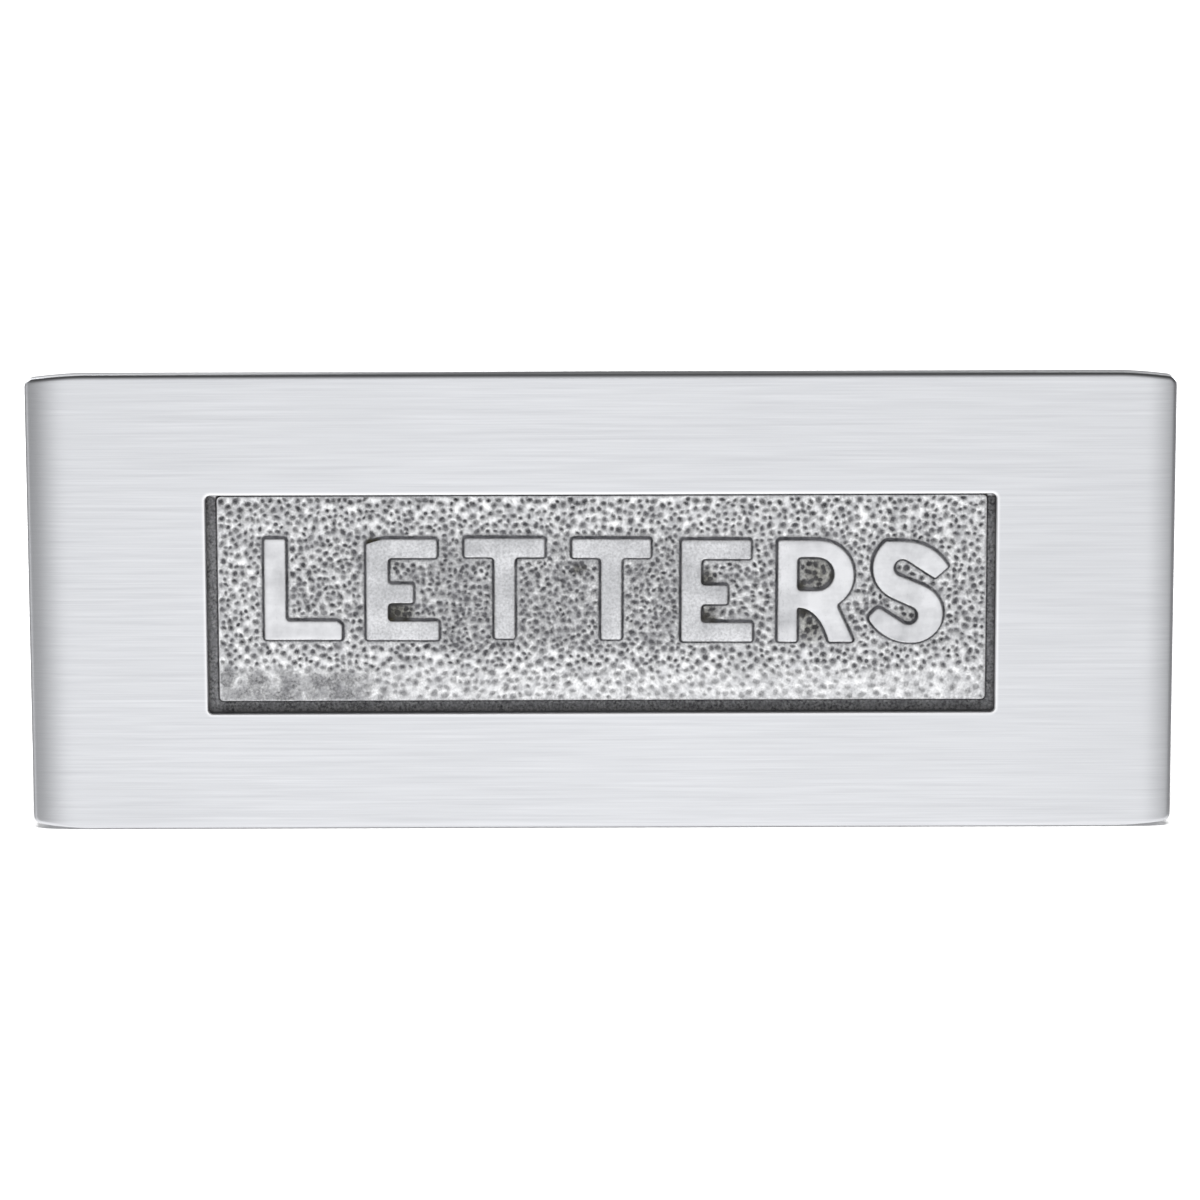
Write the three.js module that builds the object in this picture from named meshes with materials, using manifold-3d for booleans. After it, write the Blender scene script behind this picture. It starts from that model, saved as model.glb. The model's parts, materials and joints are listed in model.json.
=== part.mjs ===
// A sprung letter plate for a front door, as fixed to a door 44 mm thick.
//
// Two brass castings make the visible part: a front plate with a wide aperture, and a flap that closes the
// aperture from behind. The flap hangs on a steel pin behind the top of the aperture, and two torsion
// springs hold it shut. Two studs go through the door, with a washer and a nut on each inside.
//
// Millimetres. +X runs to the right as seen from the street, +Z is up and +Y goes into the door. The
// origin is the middle of the plate, on the plane where its rim meets the door.

import * as THREE from 'three';
import { mergeVertices } from 'three/addons/utils/BufferGeometryUtils.js';
import Module from 'manifold-3d';

// ---- Driving dimensions ----

// Front plate
const PLATE_WIDTH = 254;
const PLATE_HEIGHT = 101.6;
const PLATE_DEPTH = 7;
const SKIN = 3; // thickness of the plate's face
const RIM = 3.5; // width of the rim that meets the door
const PLATE_CORNER = 2;
const PLATE_EDGE = 1; // rounding of the front edge
const CORNER_DROP = 0.8; // how far hand polishing has taken down the outline at each corner
const CORNER_RUN = 13; // the length over which it does

// Aperture
const APERTURE_WIDTH = 174.7;
const APERTURE_HEIGHT = 48.85;
const APERTURE_Z = -0.35;
const APERTURE_CORNER = 1;

// Hinge
const HINGE_Y = 3;
const HINGE_Z = 27.5;
const PIN_RADIUS = 1.75;
const PIN_LENGTH = 198;
const PIN_CHAMFER = 0.4;
const PIN_CLEARANCE = 0.2;
const LUG_X = [92, 96]; // the plate's hinge lugs, from their inner to their outer face
const LUG_RADIUS = 3.8;
const LUG_FOOT_Z = [21.5, 33.5];
const EAR_X = [68, 74]; // the flap's hinge ears
const EAR_RADIUS = 3.5;
const EAR_FOOT_Z = [18, 27.8];

const GAP = 0.3; // kept between pieces that touch
const OVERLAP = 0.5; // how far one part of a casting is let into another, so that they fuse

// Flap
const FLANGE_WIDTH = 181;
const FLANGE_THICKNESS = 1.7;
const FLANGE_Z = [-28.6, 27.8];
const FLANGE_CORNER = 2;
const PANEL_WIDTH = 170.5;
const PANEL_X = 0.2; // the flap sits this far to the right in its side play
const PANEL_Z = [-22.3, 23.6];
const PANEL_CORNER = 1;
const PANEL_FRONT = -5.2; // y of the stippled ground
const LETTER_FRONT = -6.4; // y of the letters' flat tops

// Raised word
const WORD_TILT = THREE.MathUtils.degToRad(-0.26); // the word leans a little on the casting
const CAP = 14.05;
const BASELINE = -8.65;
const ARM = 4.3; // height of the horizontal strokes
const E_MIDDLE_DROP = 0.9; // how far the middle stroke is below the letter's middle
const E_MIDDLE = 0.65; // length of the middle stroke, as a share of the letter's width
const E_TOP = 0.975; // length of the top stroke, likewise
const R_STROKE = 3.85;
const R_BOWL_Z = -1.6; // lowest point of the bowl
const R_LEG_Z = -1.2; // top of the space between the legs
const R_LEG_TURN = 4.8;
const R_LEG_WIDTH = 5.6;
const R_LEG_MEETS_BOWL = -60; // degrees
const R_COUNTER_SET_BACK = 0.5;
const ARC_STEP = 17; // degrees

// The S is bounded by six turns, because its stroke swells towards the lower right.
const S_TOP = 13.75; // the top is cut flat here
const S_UPPER_OUTER = { x: 67.5, z: 7.8, radius: 7.45 };
const S_UPPER_INNER = { x: 66.75, z: 7.8, radius: 1.9 };
const S_LOWER_INNER = { x: 68.2, z: -2.9, radius: 2.05 };
const S_LOWER_OUTER = { x: 69.3, z: -2.4, radius: 6.6 };
const S_UPPER_END = { x: 67.5, z: 2.8, radius: 10.95 };
const S_LOWER_END = { x: 68.6, z: 1.65, radius: 10.8 };
const S_UPPER_CORNER = [74, 5.4];
const S_LOWER_CORNER = [61.4, -1];

// Springs
const WIRE_RADIUS = 0.6;
const COIL_RADIUS = 3; // to the middle of the wire
const COIL_X = [76.4, 89.6];
const COIL_TURNS = 10;
const LEG_LENGTH = 12.5;
const WIRE_SIDES = 6;
const WIRE_STEPS = 160;

// Retaining clips on the pin
const CLIP_RADIUS = 4.5;
const CLIP_THICKNESS = 0.6;
const CLIP_DISH = 0.5;

// Fixings
const FIXING_X = 108; // half of the 216 mm between the studs
const BOSS_RADIUS = 6;
const BOSS_END = 4; // y of the bosses' ends, which sit in the door's holes
const STUD_RADIUS = 3;
const STUD_START = -2.7;
const STUD_END = 56;
const STUD_CHAMFER = 0.8;
const DOOR_THICKNESS = 44;
const WASHER_RADIUS = 9;
const WASHER_THICKNESS = 1.6;
const NUT_ACROSS_FLATS = 10;
const NUT_HEIGHT = 5;
const NUT_END_RELIEF = 0.1; // how far inside the flats the cones reach
const ROUND_SIDES = 28;

// ---- Materials ----

const satinChrome = new THREE.MeshStandardMaterial({ color: 0xd4d6d9, metalness: 1, roughness: 0.38 });
const agedCasting = new THREE.MeshStandardMaterial({ color: 0xb4b6b8, metalness: 1, roughness: 0.45 });
const steel = new THREE.MeshStandardMaterial({ color: 0x9fa2a6, metalness: 1, roughness: 0.35 });
const springSteel = new THREE.MeshStandardMaterial({ color: 0x8a8d91, metalness: 1, roughness: 0.3 });
const zinc = new THREE.MeshStandardMaterial({ color: 0xb9bcc0, metalness: 1, roughness: 0.4 });

// ---- Solids ----

const wasm = await Module();
wasm.setup();

function toSolid(geometry) {
  geometry.deleteAttribute('normal');
  geometry.deleteAttribute('uv');
  const merged = mergeVertices(geometry);
  return new wasm.Manifold(new wasm.Mesh({
    numProp: 3,
    vertProperties: merged.attributes.position.array,
    triVerts: new Uint32Array(merged.index.array),
  }));
}

function toGeometry(solid) {
  const { vertProperties, triVerts } = solid.getMesh();
  const geometry = new THREE.BufferGeometry();
  geometry.setAttribute('position', new THREE.BufferAttribute(vertProperties, 3));
  geometry.setIndex(new THREE.BufferAttribute(triVerts, 1));
  geometry.computeVertexNormals();
  return geometry;
}

function named(name, geometry, material) {
  const mesh = new THREE.Mesh(geometry, material);
  mesh.name = name;
  return mesh;
}

const extruded = (shape, depth, curveSegments) =>
  new THREE.ExtrudeGeometry(shape, { depth, curveSegments, bevelEnabled: false });

// An outline drawn in X and Z, made solid from y = front to y = back.
const slab = (shape, front, back) =>
  extruded(shape, back - front, 8).rotateX(Math.PI / 2).translate(0, back, 0);

// An outline drawn in Y and Z, made solid from x = start to x = end.
function slice(shape, start, end) {
  const yzx = new THREE.Matrix4().makeBasis(
    new THREE.Vector3(0, 1, 0),
    new THREE.Vector3(0, 0, 1),
    new THREE.Vector3(1, 0, 0),
  );
  return extruded(shape, end - start, 12).applyMatrix4(yzx).translate(start, 0, 0);
}

function roundedRectangle(left, bottom, right, top, radius) {
  const shape = new THREE.Shape();
  shape.moveTo(left + radius, bottom);
  shape.lineTo(right - radius, bottom);
  shape.absarc(right - radius, bottom + radius, radius, -Math.PI / 2, 0);
  shape.lineTo(right, top - radius);
  shape.absarc(right - radius, top - radius, radius, 0, Math.PI / 2);
  shape.lineTo(left + radius, top);
  shape.absarc(left + radius, top - radius, radius, Math.PI / 2, Math.PI);
  shape.lineTo(left, bottom + radius);
  shape.absarc(left + radius, bottom + radius, radius, Math.PI, Math.PI * 1.5);
  return shape;
}

const centredRectangle = (width, height, radius, z = 0) =>
  roundedRectangle(-width / 2, z - height / 2, width / 2, z + height / 2, radius);

const outline = (points) => new THREE.Shape(points.map(([x, y]) => new THREE.Vector2(x, y)));

// A profile of radius and y, turned round the Y axis.
const turned = (profile) =>
  new THREE.LatheGeometry(profile.map(([radius, y]) => new THREE.Vector2(radius, y)), ROUND_SIDES);

// A round bar along Y from y = start to y = end, with chamfered ends.
const bar = (radius, start, end, chamfer) => turned([
  [0, start],
  [radius - chamfer, start],
  [radius, start + chamfer],
  [radius, end - chamfer],
  [radius - chamfer, end],
  [0, end],
]);

const cylinder = (radius, start, end) =>
  new THREE.CylinderGeometry(radius, radius, end - start, ROUND_SIDES).translate(0, (start + end) / 2, 0);

// Turns a shape that stands on the Y axis on to the hinge's axis.
const onHinge = (geometry) => geometry.rotateZ(Math.PI / 2).translate(0, HINGE_Y, HINGE_Z);

const hingeHole = () => toSolid(onHinge(cylinder(PIN_RADIUS + PIN_CLEARANCE, -PIN_LENGTH, PIN_LENGTH)));

// ---- Front plate ----

const SKIN_BACK = SKIN - PLATE_DEPTH;

// The outline drops a little towards each corner, where polishing has taken it down.
function plateOutline() {
  const x = PLATE_WIDTH / 2;
  const z = PLATE_HEIGHT / 2;
  const low = z - CORNER_DROP;
  const run = x - CORNER_RUN;
  const turn = x - PLATE_CORNER;
  const shape = new THREE.Shape();
  shape.moveTo(-run, -z);
  shape.lineTo(run, -z);
  shape.quadraticCurveTo(run + CORNER_RUN / 2, -z, turn, -low);
  shape.absarc(turn, PLATE_CORNER - low, PLATE_CORNER, -Math.PI / 2, 0);
  shape.absarc(turn, low - PLATE_CORNER, PLATE_CORNER, 0, Math.PI / 2);
  shape.quadraticCurveTo(run + CORNER_RUN / 2, z, run, z);
  shape.lineTo(-run, z);
  shape.quadraticCurveTo(-run - CORNER_RUN / 2, z, -turn, low);
  shape.absarc(-turn, low - PLATE_CORNER, PLATE_CORNER, Math.PI / 2, Math.PI);
  shape.absarc(-turn, PLATE_CORNER - low, PLATE_CORNER, Math.PI, Math.PI * 1.5);
  shape.quadraticCurveTo(-run - CORNER_RUN / 2, -z, -run, -z);
  return shape;
}

// The rounded front edge comes from a bevel. The bevel on the far side is cut off at the door.
function plateBlank() {
  const geometry = new THREE.ExtrudeGeometry(plateOutline(), {
    depth: PLATE_DEPTH,
    bevelThickness: PLATE_EDGE,
    bevelSize: PLATE_EDGE,
    bevelOffset: -PLATE_EDGE,
    bevelSegments: 3,
    curveSegments: 5,
  });
  geometry.rotateX(Math.PI / 2).translate(0, PLATE_EDGE, 0);
  const streetSide = new THREE.BoxGeometry(2 * PLATE_WIDTH, 2 * PLATE_DEPTH, 2 * PLATE_HEIGHT);
  streetSide.translate(0, -PLATE_DEPTH, 0);
  return toSolid(geometry).intersect(toSolid(streetSide));
}

// A hinge lug or ear: a foot on a flat face at y = footY, drawn in along two tangents to an eye round
// the pin.
function eyeOutline(radius, footY, [lowZ, highZ]) {
  const touch = (z, turn) => {
    const y = footY - HINGE_Y;
    return Math.atan2(z - HINGE_Z, y) + turn * Math.acos(radius / Math.hypot(y, z - HINGE_Z));
  };
  const shape = new THREE.Shape();
  shape.moveTo(footY, highZ);
  shape.lineTo(footY, lowZ);
  shape.absarc(HINGE_Y, HINGE_Z, radius, touch(lowZ, 1), touch(highZ, -1));
  return shape;
}

// The same slice on both sides of the plate, from the inner to the outer distance from its middle.
const onBothSides = (shape, [inner, outer]) =>
  toSolid(slice(shape, inner, outer)).add(toSolid(slice(shape, -outer, -inner)));

function frontPlate() {
  const pocket = centredRectangle(PLATE_WIDTH - 2 * RIM, PLATE_HEIGHT - 2 * RIM, PLATE_CORNER);
  const aperture = centredRectangle(APERTURE_WIDTH, APERTURE_HEIGHT, APERTURE_CORNER, APERTURE_Z);
  const lug = eyeOutline(LUG_RADIUS, SKIN_BACK - OVERLAP, LUG_FOOT_Z);
  let plate = plateBlank()
    .subtract(toSolid(slab(pocket, SKIN_BACK, OVERLAP)))
    .subtract(toSolid(slab(aperture, -PLATE_DEPTH - OVERLAP, OVERLAP)))
    .add(onBothSides(lug, LUG_X));
  for (const x of [-FIXING_X, FIXING_X]) {
    const boss = cylinder(BOSS_RADIUS, SKIN_BACK - OVERLAP, BOSS_END).translate(x, 0, 0);
    const tapping = cylinder(STUD_RADIUS + GAP, STUD_START - GAP, BOSS_END + OVERLAP).translate(x, 0, 0);
    plate = plate.add(toSolid(boss)).subtract(toSolid(tapping));
  }
  return toGeometry(plate.subtract(hingeHole()));
}

// ---- Raised word ----

const letterL = ({ x, width, stem, low, high }) => outline([
  [x, low],
  [x + width, low],
  [x + width, low + ARM],
  [x + stem, low + ARM],
  [x + stem, high],
  [x, high],
]);

function letterE({ x, width, stem, low, high }) {
  const middle = (low + high) / 2 - E_MIDDLE_DROP;
  return outline([
    [x, low],
    [x + width, low],
    [x + width, low + ARM],
    [x + stem, low + ARM],
    [x + stem, middle - ARM / 2],
    [x + width * E_MIDDLE, middle - ARM / 2],
    [x + width * E_MIDDLE, middle + ARM / 2],
    [x + stem, middle + ARM / 2],
    [x + stem, high - ARM],
    [x + width * E_TOP, high - ARM],
    [x + width * E_TOP, high],
    [x, high],
  ]);
}

function letterT({ x, width, stem, low, high }) {
  const left = x + (width - stem) / 2;
  return outline([
    [left, low],
    [left + stem, low],
    [left + stem, high - ARM],
    [x + width, high - ARM],
    [x + width, high],
    [x, high],
    [x, high - ARM],
    [left, high - ARM],
  ]);
}

// Points on a circle, from one angle to another, in degrees.
function arc({ x, z, radius }, from, to) {
  const steps = Math.ceil(Math.abs(to - from) / ARC_STEP);
  return Array.from({ length: steps + 1 }, (_, i) => {
    const angle = THREE.MathUtils.degToRad(from + ((to - from) * i) / steps);
    return [x + radius * Math.cos(angle), z + radius * Math.sin(angle)];
  });
}

function letterR({ x, width, stem, low, high }) {
  const radius = (high - R_BOWL_Z) / 2;
  const bowl = { x: x + width - radius, z: high - radius, radius };
  const counterLow = R_LEG_Z + R_STROKE;
  const counterRadius = (high - R_STROKE - counterLow) / 2;
  const counterX = bowl.x - R_COUNTER_SET_BACK;
  const shape = outline([
    [x, low],
    [x + stem, low],
    [x + stem, R_LEG_Z],
    ...new THREE.QuadraticBezierCurve(
      new THREE.Vector2(x + stem, R_LEG_Z),
      new THREE.Vector2(x + stem + R_LEG_TURN, R_LEG_Z),
      new THREE.Vector2(x + width - R_LEG_WIDTH, low),
    ).getPoints(8).slice(1).map((point) => [point.x, point.y]),
    [x + width, low],
    ...arc(bowl, R_LEG_MEETS_BOWL, 90),
    [x, high],
  ]);
  shape.holes.push(outline([
    [x + stem, high - R_STROKE],
    [x + stem, counterLow],
    ...arc({ x: counterX, z: counterLow + counterRadius, radius: counterRadius }, -90, 90),
  ]));
  return shape;
}

// The direction in which an inner tangent of two circles touches the first, in degrees.
function touching(first, second) {
  const x = second.x - first.x;
  const z = second.z - first.z;
  const turn = Math.acos((first.radius + second.radius) / Math.hypot(x, z));
  return THREE.MathUtils.radToDeg(Math.atan2(z, x) - turn);
}

// The direction in which a tangent from a point touches a circle, on the side given, in degrees.
function touchingFrom([x, z], circle, side) {
  const away = Math.hypot(x - circle.x, z - circle.z);
  const towards = Math.atan2(z - circle.z, x - circle.x);
  return THREE.MathUtils.radToDeg(towards + side * Math.acos(circle.radius / away));
}

function letterS() {
  const outer = touching(S_UPPER_OUTER, S_LOWER_INNER);
  const inner = touching(S_UPPER_INNER, S_LOWER_OUTER);
  const flat = THREE.MathUtils.radToDeg(Math.acos((S_TOP - S_UPPER_OUTER.z) / S_UPPER_OUTER.radius));
  return outline([
    ...arc(S_UPPER_END, 29, 90),
    ...arc(S_UPPER_OUTER, 90 + flat, outer + 360),
    ...arc(S_LOWER_INNER, outer + 180, touchingFrom(S_LOWER_CORNER, S_LOWER_INNER, 1) - 360),
    S_LOWER_CORNER,
    ...arc(S_LOWER_END, -152, -80),
    ...arc(S_LOWER_OUTER, -80, inner + 180).slice(1),
    ...arc(S_UPPER_INNER, inner + 360, touchingFrom(S_UPPER_CORNER, S_UPPER_INNER, 1)),
    S_UPPER_CORNER,
  ]);
}

// Each letter's outline and, in millimetres, its left edge, width and stroke width, and how far its foot
// and its top are off the baseline and the cap line. The S is drawn in place, from its own circles.
const WORD = [
  [letterL, -74.7, 17.25, 4.85, 0, 0],
  [letterE, -52.1, 16.15, 4.9, 0, 0],
  [letterT, -30.35, 17.9, 4.6, 0.35, 0.2],
  [letterT, -6.5, 17.5, 4.6, 0.2, 0.1],
  [letterE, 17.75, 15.85, 4.45, -0.2, -0.1],
  [letterR, 39.1, 17.05, 4.4, -0.25, -0.1],
  [letterS],
];

// ---- Flap ----

const FLANGE_FRONT = SKIN_BACK + GAP;
const FLANGE_BACK = FLANGE_FRONT + FLANGE_THICKNESS;

function flap() {
  const flangeLeft = -FLANGE_WIDTH / 2;
  const flange = roundedRectangle(flangeLeft, FLANGE_Z[0], -flangeLeft, FLANGE_Z[1], FLANGE_CORNER);
  const panelLeft = PANEL_X - PANEL_WIDTH / 2;
  const panel = roundedRectangle(panelLeft, PANEL_Z[0], panelLeft + PANEL_WIDTH, PANEL_Z[1], PANEL_CORNER);
  const ear = eyeOutline(EAR_RADIUS, FLANGE_BACK - OVERLAP, EAR_FOOT_Z);
  let solid = toSolid(slab(flange, FLANGE_FRONT, FLANGE_BACK))
    .add(toSolid(slab(panel, PANEL_FRONT, FLANGE_FRONT + OVERLAP)))
    .add(onBothSides(ear, EAR_X));
  for (const [letter, x, width, stem, foot, top] of WORD) {
    const shape = letter({ x, width, stem, low: BASELINE + foot, high: CAP + top });
    const raised = slab(shape, LETTER_FRONT, PANEL_FRONT + OVERLAP);
    solid = solid.add(toSolid(raised.rotateY(-WORD_TILT)));
  }
  return toGeometry(solid.subtract(hingeHole()));
}

// ---- Springs ----

// A close-wound coil round the pin, with one leg up on the plate and one leg down on the flap.
class SpringLine extends THREE.Curve {
  constructor(side) {
    super();
    this.side = side;
    // Each leg leaves the coil along its tangent and leans forward until its end rests on the casting.
    const leg = Math.atan2(LEG_LENGTH, COIL_RADIUS);
    this.fixedAngle = leg + SpringLine.lean(SKIN_BACK);
    this.movingAngle = 2 * Math.PI - leg - SpringLine.lean(FLANGE_BACK);
    this.sweep = 2 * Math.PI * COIL_TURNS + this.movingAngle - this.fixedAngle;
    this.coilLength = this.sweep * COIL_RADIUS;
  }

  // The turn, from straight back, at which a leg's end rests on the face at y = faceY.
  static lean(faceY) {
    return Math.acos((faceY + GAP + WIRE_RADIUS - HINGE_Y) / Math.hypot(COIL_RADIUS, LEG_LENGTH));
  }

  getPoint(t, target = new THREE.Vector3()) {
    const total = this.coilLength + 2 * LEG_LENGTH;
    const along = t * total - LEG_LENGTH;
    const turned = THREE.MathUtils.clamp(along / this.coilLength, 0, 1);
    const angle = this.fixedAngle + this.sweep * turned;
    const spare = along - turned * this.coilLength;
    const x = COIL_X[1] + (COIL_X[0] - COIL_X[1]) * turned;
    // The angle runs from +Y towards +Z and grows along the wire; a leg carries on along the tangent.
    const y = HINGE_Y + COIL_RADIUS * Math.cos(angle) - spare * Math.sin(angle);
    const z = HINGE_Z + COIL_RADIUS * Math.sin(angle) + spare * Math.cos(angle);
    return target.set(this.side * x, y, z);
  }
}

function spring(side) {
  const section = outline(Array.from({ length: WIRE_SIDES }, (_, i) => {
    const angle = (2 * Math.PI * i) / WIRE_SIDES;
    return [WIRE_RADIUS * Math.cos(angle), WIRE_RADIUS * Math.sin(angle)];
  }));
  return new THREE.ExtrudeGeometry(section, { steps: WIRE_STEPS, extrudePath: new SpringLine(side) });
}

// ---- Pin and its clips ----

const hingePin = () => onHinge(bar(PIN_RADIUS, -PIN_LENGTH / 2, PIN_LENGTH / 2, PIN_CHAMFER));

// A dished push-on washer, drawn round the Y axis with its hollow towards -Y.
function clip() {
  const bore = PIN_RADIUS + GAP;
  return turned([
    [bore, CLIP_DISH],
    [CLIP_RADIUS, 0],
    [CLIP_RADIUS, CLIP_THICKNESS],
    [bore, CLIP_DISH + CLIP_THICKNESS],
    [bore, CLIP_DISH],
  ]);
}

// ---- Fixings ----

const stud = () => bar(STUD_RADIUS, STUD_START, STUD_END, STUD_CHAMFER);

function washer() {
  const bore = toSolid(cylinder(STUD_RADIUS + GAP, -OVERLAP, WASHER_THICKNESS + OVERLAP));
  return toGeometry(toSolid(cylinder(WASHER_RADIUS, 0, WASHER_THICKNESS)).subtract(bore));
}

// A hexagon whose corners are turned down to a cone at both ends.
function nut() {
  const corner = NUT_ACROSS_FLATS / Math.sqrt(3);
  const endRadius = NUT_ACROSS_FLATS / 2 - NUT_END_RELIEF;
  const hexagon = new THREE.CylinderGeometry(corner, corner, NUT_HEIGHT, 6).translate(0, NUT_HEIGHT / 2, 0);
  const rise = (corner - endRadius) / 2;
  const profile = [
    [0, 0],
    [endRadius, 0],
    [corner, rise],
    [corner, NUT_HEIGHT - rise],
    [endRadius, NUT_HEIGHT],
    [0, NUT_HEIGHT],
  ];
  const bore = toSolid(cylinder(STUD_RADIUS + GAP, -OVERLAP, NUT_HEIGHT + OVERLAP));
  return toGeometry(toSolid(hexagon).intersect(toSolid(turned(profile))).subtract(bore));
}

// ---- Assembly ----

const letterPlate = new THREE.Group();
letterPlate.add(named('front_plate', frontPlate(), satinChrome));
letterPlate.add(named('flap', flap(), agedCasting));
letterPlate.add(named('hinge_pin', hingePin(), steel));

for (const [hand, side] of [['left', -1], ['right', 1]]) {
  letterPlate.add(named(`${hand}_spring`, spring(side), springSteel));

  const pinClip = named(`${hand}_pin_clip`, clip(), springSteel);
  pinClip.rotation.z = side * -Math.PI / 2;
  pinClip.position.set(side * (LUG_X[1] + GAP), HINGE_Y, HINGE_Z);
  letterPlate.add(pinClip);

  const fixing = new THREE.Group();
  fixing.position.x = side * FIXING_X;
  fixing.add(named(`${hand}_stud`, stud(), zinc));
  const washerMesh = named(`${hand}_washer`, washer(), zinc);
  washerMesh.position.y = DOOR_THICKNESS;
  fixing.add(washerMesh);
  const nutMesh = named(`${hand}_nut`, nut(), zinc);
  nutMesh.position.y = DOOR_THICKNESS + WASHER_THICKNESS + GAP;
  fixing.add(nutMesh);
  letterPlate.add(fixing);
}

export default letterPlate;
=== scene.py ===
"""A sprung letter plate: the looks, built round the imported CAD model.

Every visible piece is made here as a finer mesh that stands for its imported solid: the polished plate, the
stippled flap with its raised word, the wound springs, the cut threads. Shapes are drawn in millimetres, in
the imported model's own frame: +X to the right as seen from the street, +Z up, +Y into the door.
"""

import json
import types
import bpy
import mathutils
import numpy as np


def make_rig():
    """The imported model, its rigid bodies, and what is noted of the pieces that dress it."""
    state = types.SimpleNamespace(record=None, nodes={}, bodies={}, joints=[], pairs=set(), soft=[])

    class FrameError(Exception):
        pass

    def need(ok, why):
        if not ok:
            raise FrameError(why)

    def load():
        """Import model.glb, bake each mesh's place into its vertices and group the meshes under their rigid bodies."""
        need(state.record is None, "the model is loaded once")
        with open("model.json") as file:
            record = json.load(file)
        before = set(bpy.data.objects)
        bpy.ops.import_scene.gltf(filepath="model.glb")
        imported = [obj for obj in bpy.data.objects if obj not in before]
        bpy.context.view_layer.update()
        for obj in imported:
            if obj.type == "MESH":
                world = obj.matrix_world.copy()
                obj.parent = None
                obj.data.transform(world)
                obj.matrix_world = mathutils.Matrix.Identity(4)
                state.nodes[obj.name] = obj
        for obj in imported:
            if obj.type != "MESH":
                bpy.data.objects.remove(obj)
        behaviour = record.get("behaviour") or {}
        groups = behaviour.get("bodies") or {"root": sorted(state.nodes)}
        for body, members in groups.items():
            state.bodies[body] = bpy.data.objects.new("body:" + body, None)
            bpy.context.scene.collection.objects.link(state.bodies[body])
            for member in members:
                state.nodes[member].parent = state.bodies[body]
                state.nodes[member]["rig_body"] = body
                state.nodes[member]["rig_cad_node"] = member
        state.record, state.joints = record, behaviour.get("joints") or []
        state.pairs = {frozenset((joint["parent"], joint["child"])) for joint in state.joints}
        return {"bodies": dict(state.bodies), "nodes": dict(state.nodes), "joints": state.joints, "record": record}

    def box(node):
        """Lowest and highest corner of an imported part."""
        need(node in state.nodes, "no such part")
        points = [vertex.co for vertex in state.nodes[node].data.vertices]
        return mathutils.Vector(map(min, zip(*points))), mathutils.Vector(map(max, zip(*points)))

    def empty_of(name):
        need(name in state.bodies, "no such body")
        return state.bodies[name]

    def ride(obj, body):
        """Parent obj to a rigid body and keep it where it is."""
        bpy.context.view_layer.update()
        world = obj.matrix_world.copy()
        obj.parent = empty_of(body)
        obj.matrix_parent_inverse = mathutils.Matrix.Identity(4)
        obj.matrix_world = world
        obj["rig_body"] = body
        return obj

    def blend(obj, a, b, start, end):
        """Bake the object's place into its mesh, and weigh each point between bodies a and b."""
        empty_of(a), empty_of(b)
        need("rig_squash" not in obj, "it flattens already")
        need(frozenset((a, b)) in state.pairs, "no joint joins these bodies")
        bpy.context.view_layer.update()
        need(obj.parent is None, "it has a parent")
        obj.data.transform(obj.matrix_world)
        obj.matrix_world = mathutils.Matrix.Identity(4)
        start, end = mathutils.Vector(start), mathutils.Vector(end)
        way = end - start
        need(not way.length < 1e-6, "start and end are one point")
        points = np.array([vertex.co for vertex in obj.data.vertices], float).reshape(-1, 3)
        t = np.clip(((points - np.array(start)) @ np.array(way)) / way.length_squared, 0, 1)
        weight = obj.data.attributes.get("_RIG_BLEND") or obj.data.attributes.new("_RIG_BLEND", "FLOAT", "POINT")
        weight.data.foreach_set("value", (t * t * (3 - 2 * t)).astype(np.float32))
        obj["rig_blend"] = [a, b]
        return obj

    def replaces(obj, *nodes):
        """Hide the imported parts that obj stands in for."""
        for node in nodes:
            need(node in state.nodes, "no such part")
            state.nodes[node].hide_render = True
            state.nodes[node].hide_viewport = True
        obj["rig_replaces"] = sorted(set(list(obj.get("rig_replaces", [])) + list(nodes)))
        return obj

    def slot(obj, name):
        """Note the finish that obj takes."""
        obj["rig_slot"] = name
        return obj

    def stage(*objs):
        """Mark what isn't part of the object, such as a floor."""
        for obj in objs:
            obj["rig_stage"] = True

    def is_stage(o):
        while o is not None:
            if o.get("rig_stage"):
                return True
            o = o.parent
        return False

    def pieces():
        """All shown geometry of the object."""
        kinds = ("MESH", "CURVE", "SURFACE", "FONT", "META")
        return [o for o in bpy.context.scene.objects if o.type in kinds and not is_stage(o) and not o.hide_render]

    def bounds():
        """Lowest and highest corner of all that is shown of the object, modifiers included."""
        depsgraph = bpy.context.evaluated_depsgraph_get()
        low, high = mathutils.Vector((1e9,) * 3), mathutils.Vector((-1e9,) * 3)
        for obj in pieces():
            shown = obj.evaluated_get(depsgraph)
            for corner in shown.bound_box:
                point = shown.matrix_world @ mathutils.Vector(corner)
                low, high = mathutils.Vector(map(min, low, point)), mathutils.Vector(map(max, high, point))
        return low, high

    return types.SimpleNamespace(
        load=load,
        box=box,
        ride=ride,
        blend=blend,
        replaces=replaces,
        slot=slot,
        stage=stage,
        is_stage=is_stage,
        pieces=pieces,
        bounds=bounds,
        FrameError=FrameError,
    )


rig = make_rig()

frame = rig.load()
cad_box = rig.bounds()

import json
import random
from collections import namedtuple
from contextlib import contextmanager
from math import acos, atan2, ceil, copysign, cos, hypot, pi, radians, sin, tan

import bmesh
import bpy
import numpy as np
from mathutils import Quaternion, Vector, noise
from mathutils.geometry import delaunay_2d_cdt
from mathutils.kdtree import KDTree

MM = 0.001


def box_mm(node):
    low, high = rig.box(node)
    return np.array(low) / MM, np.array(high) / MM


def ends_mm(node):
    """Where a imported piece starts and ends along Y."""
    low, high = box_mm(node)
    return low[1], high[1]


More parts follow.
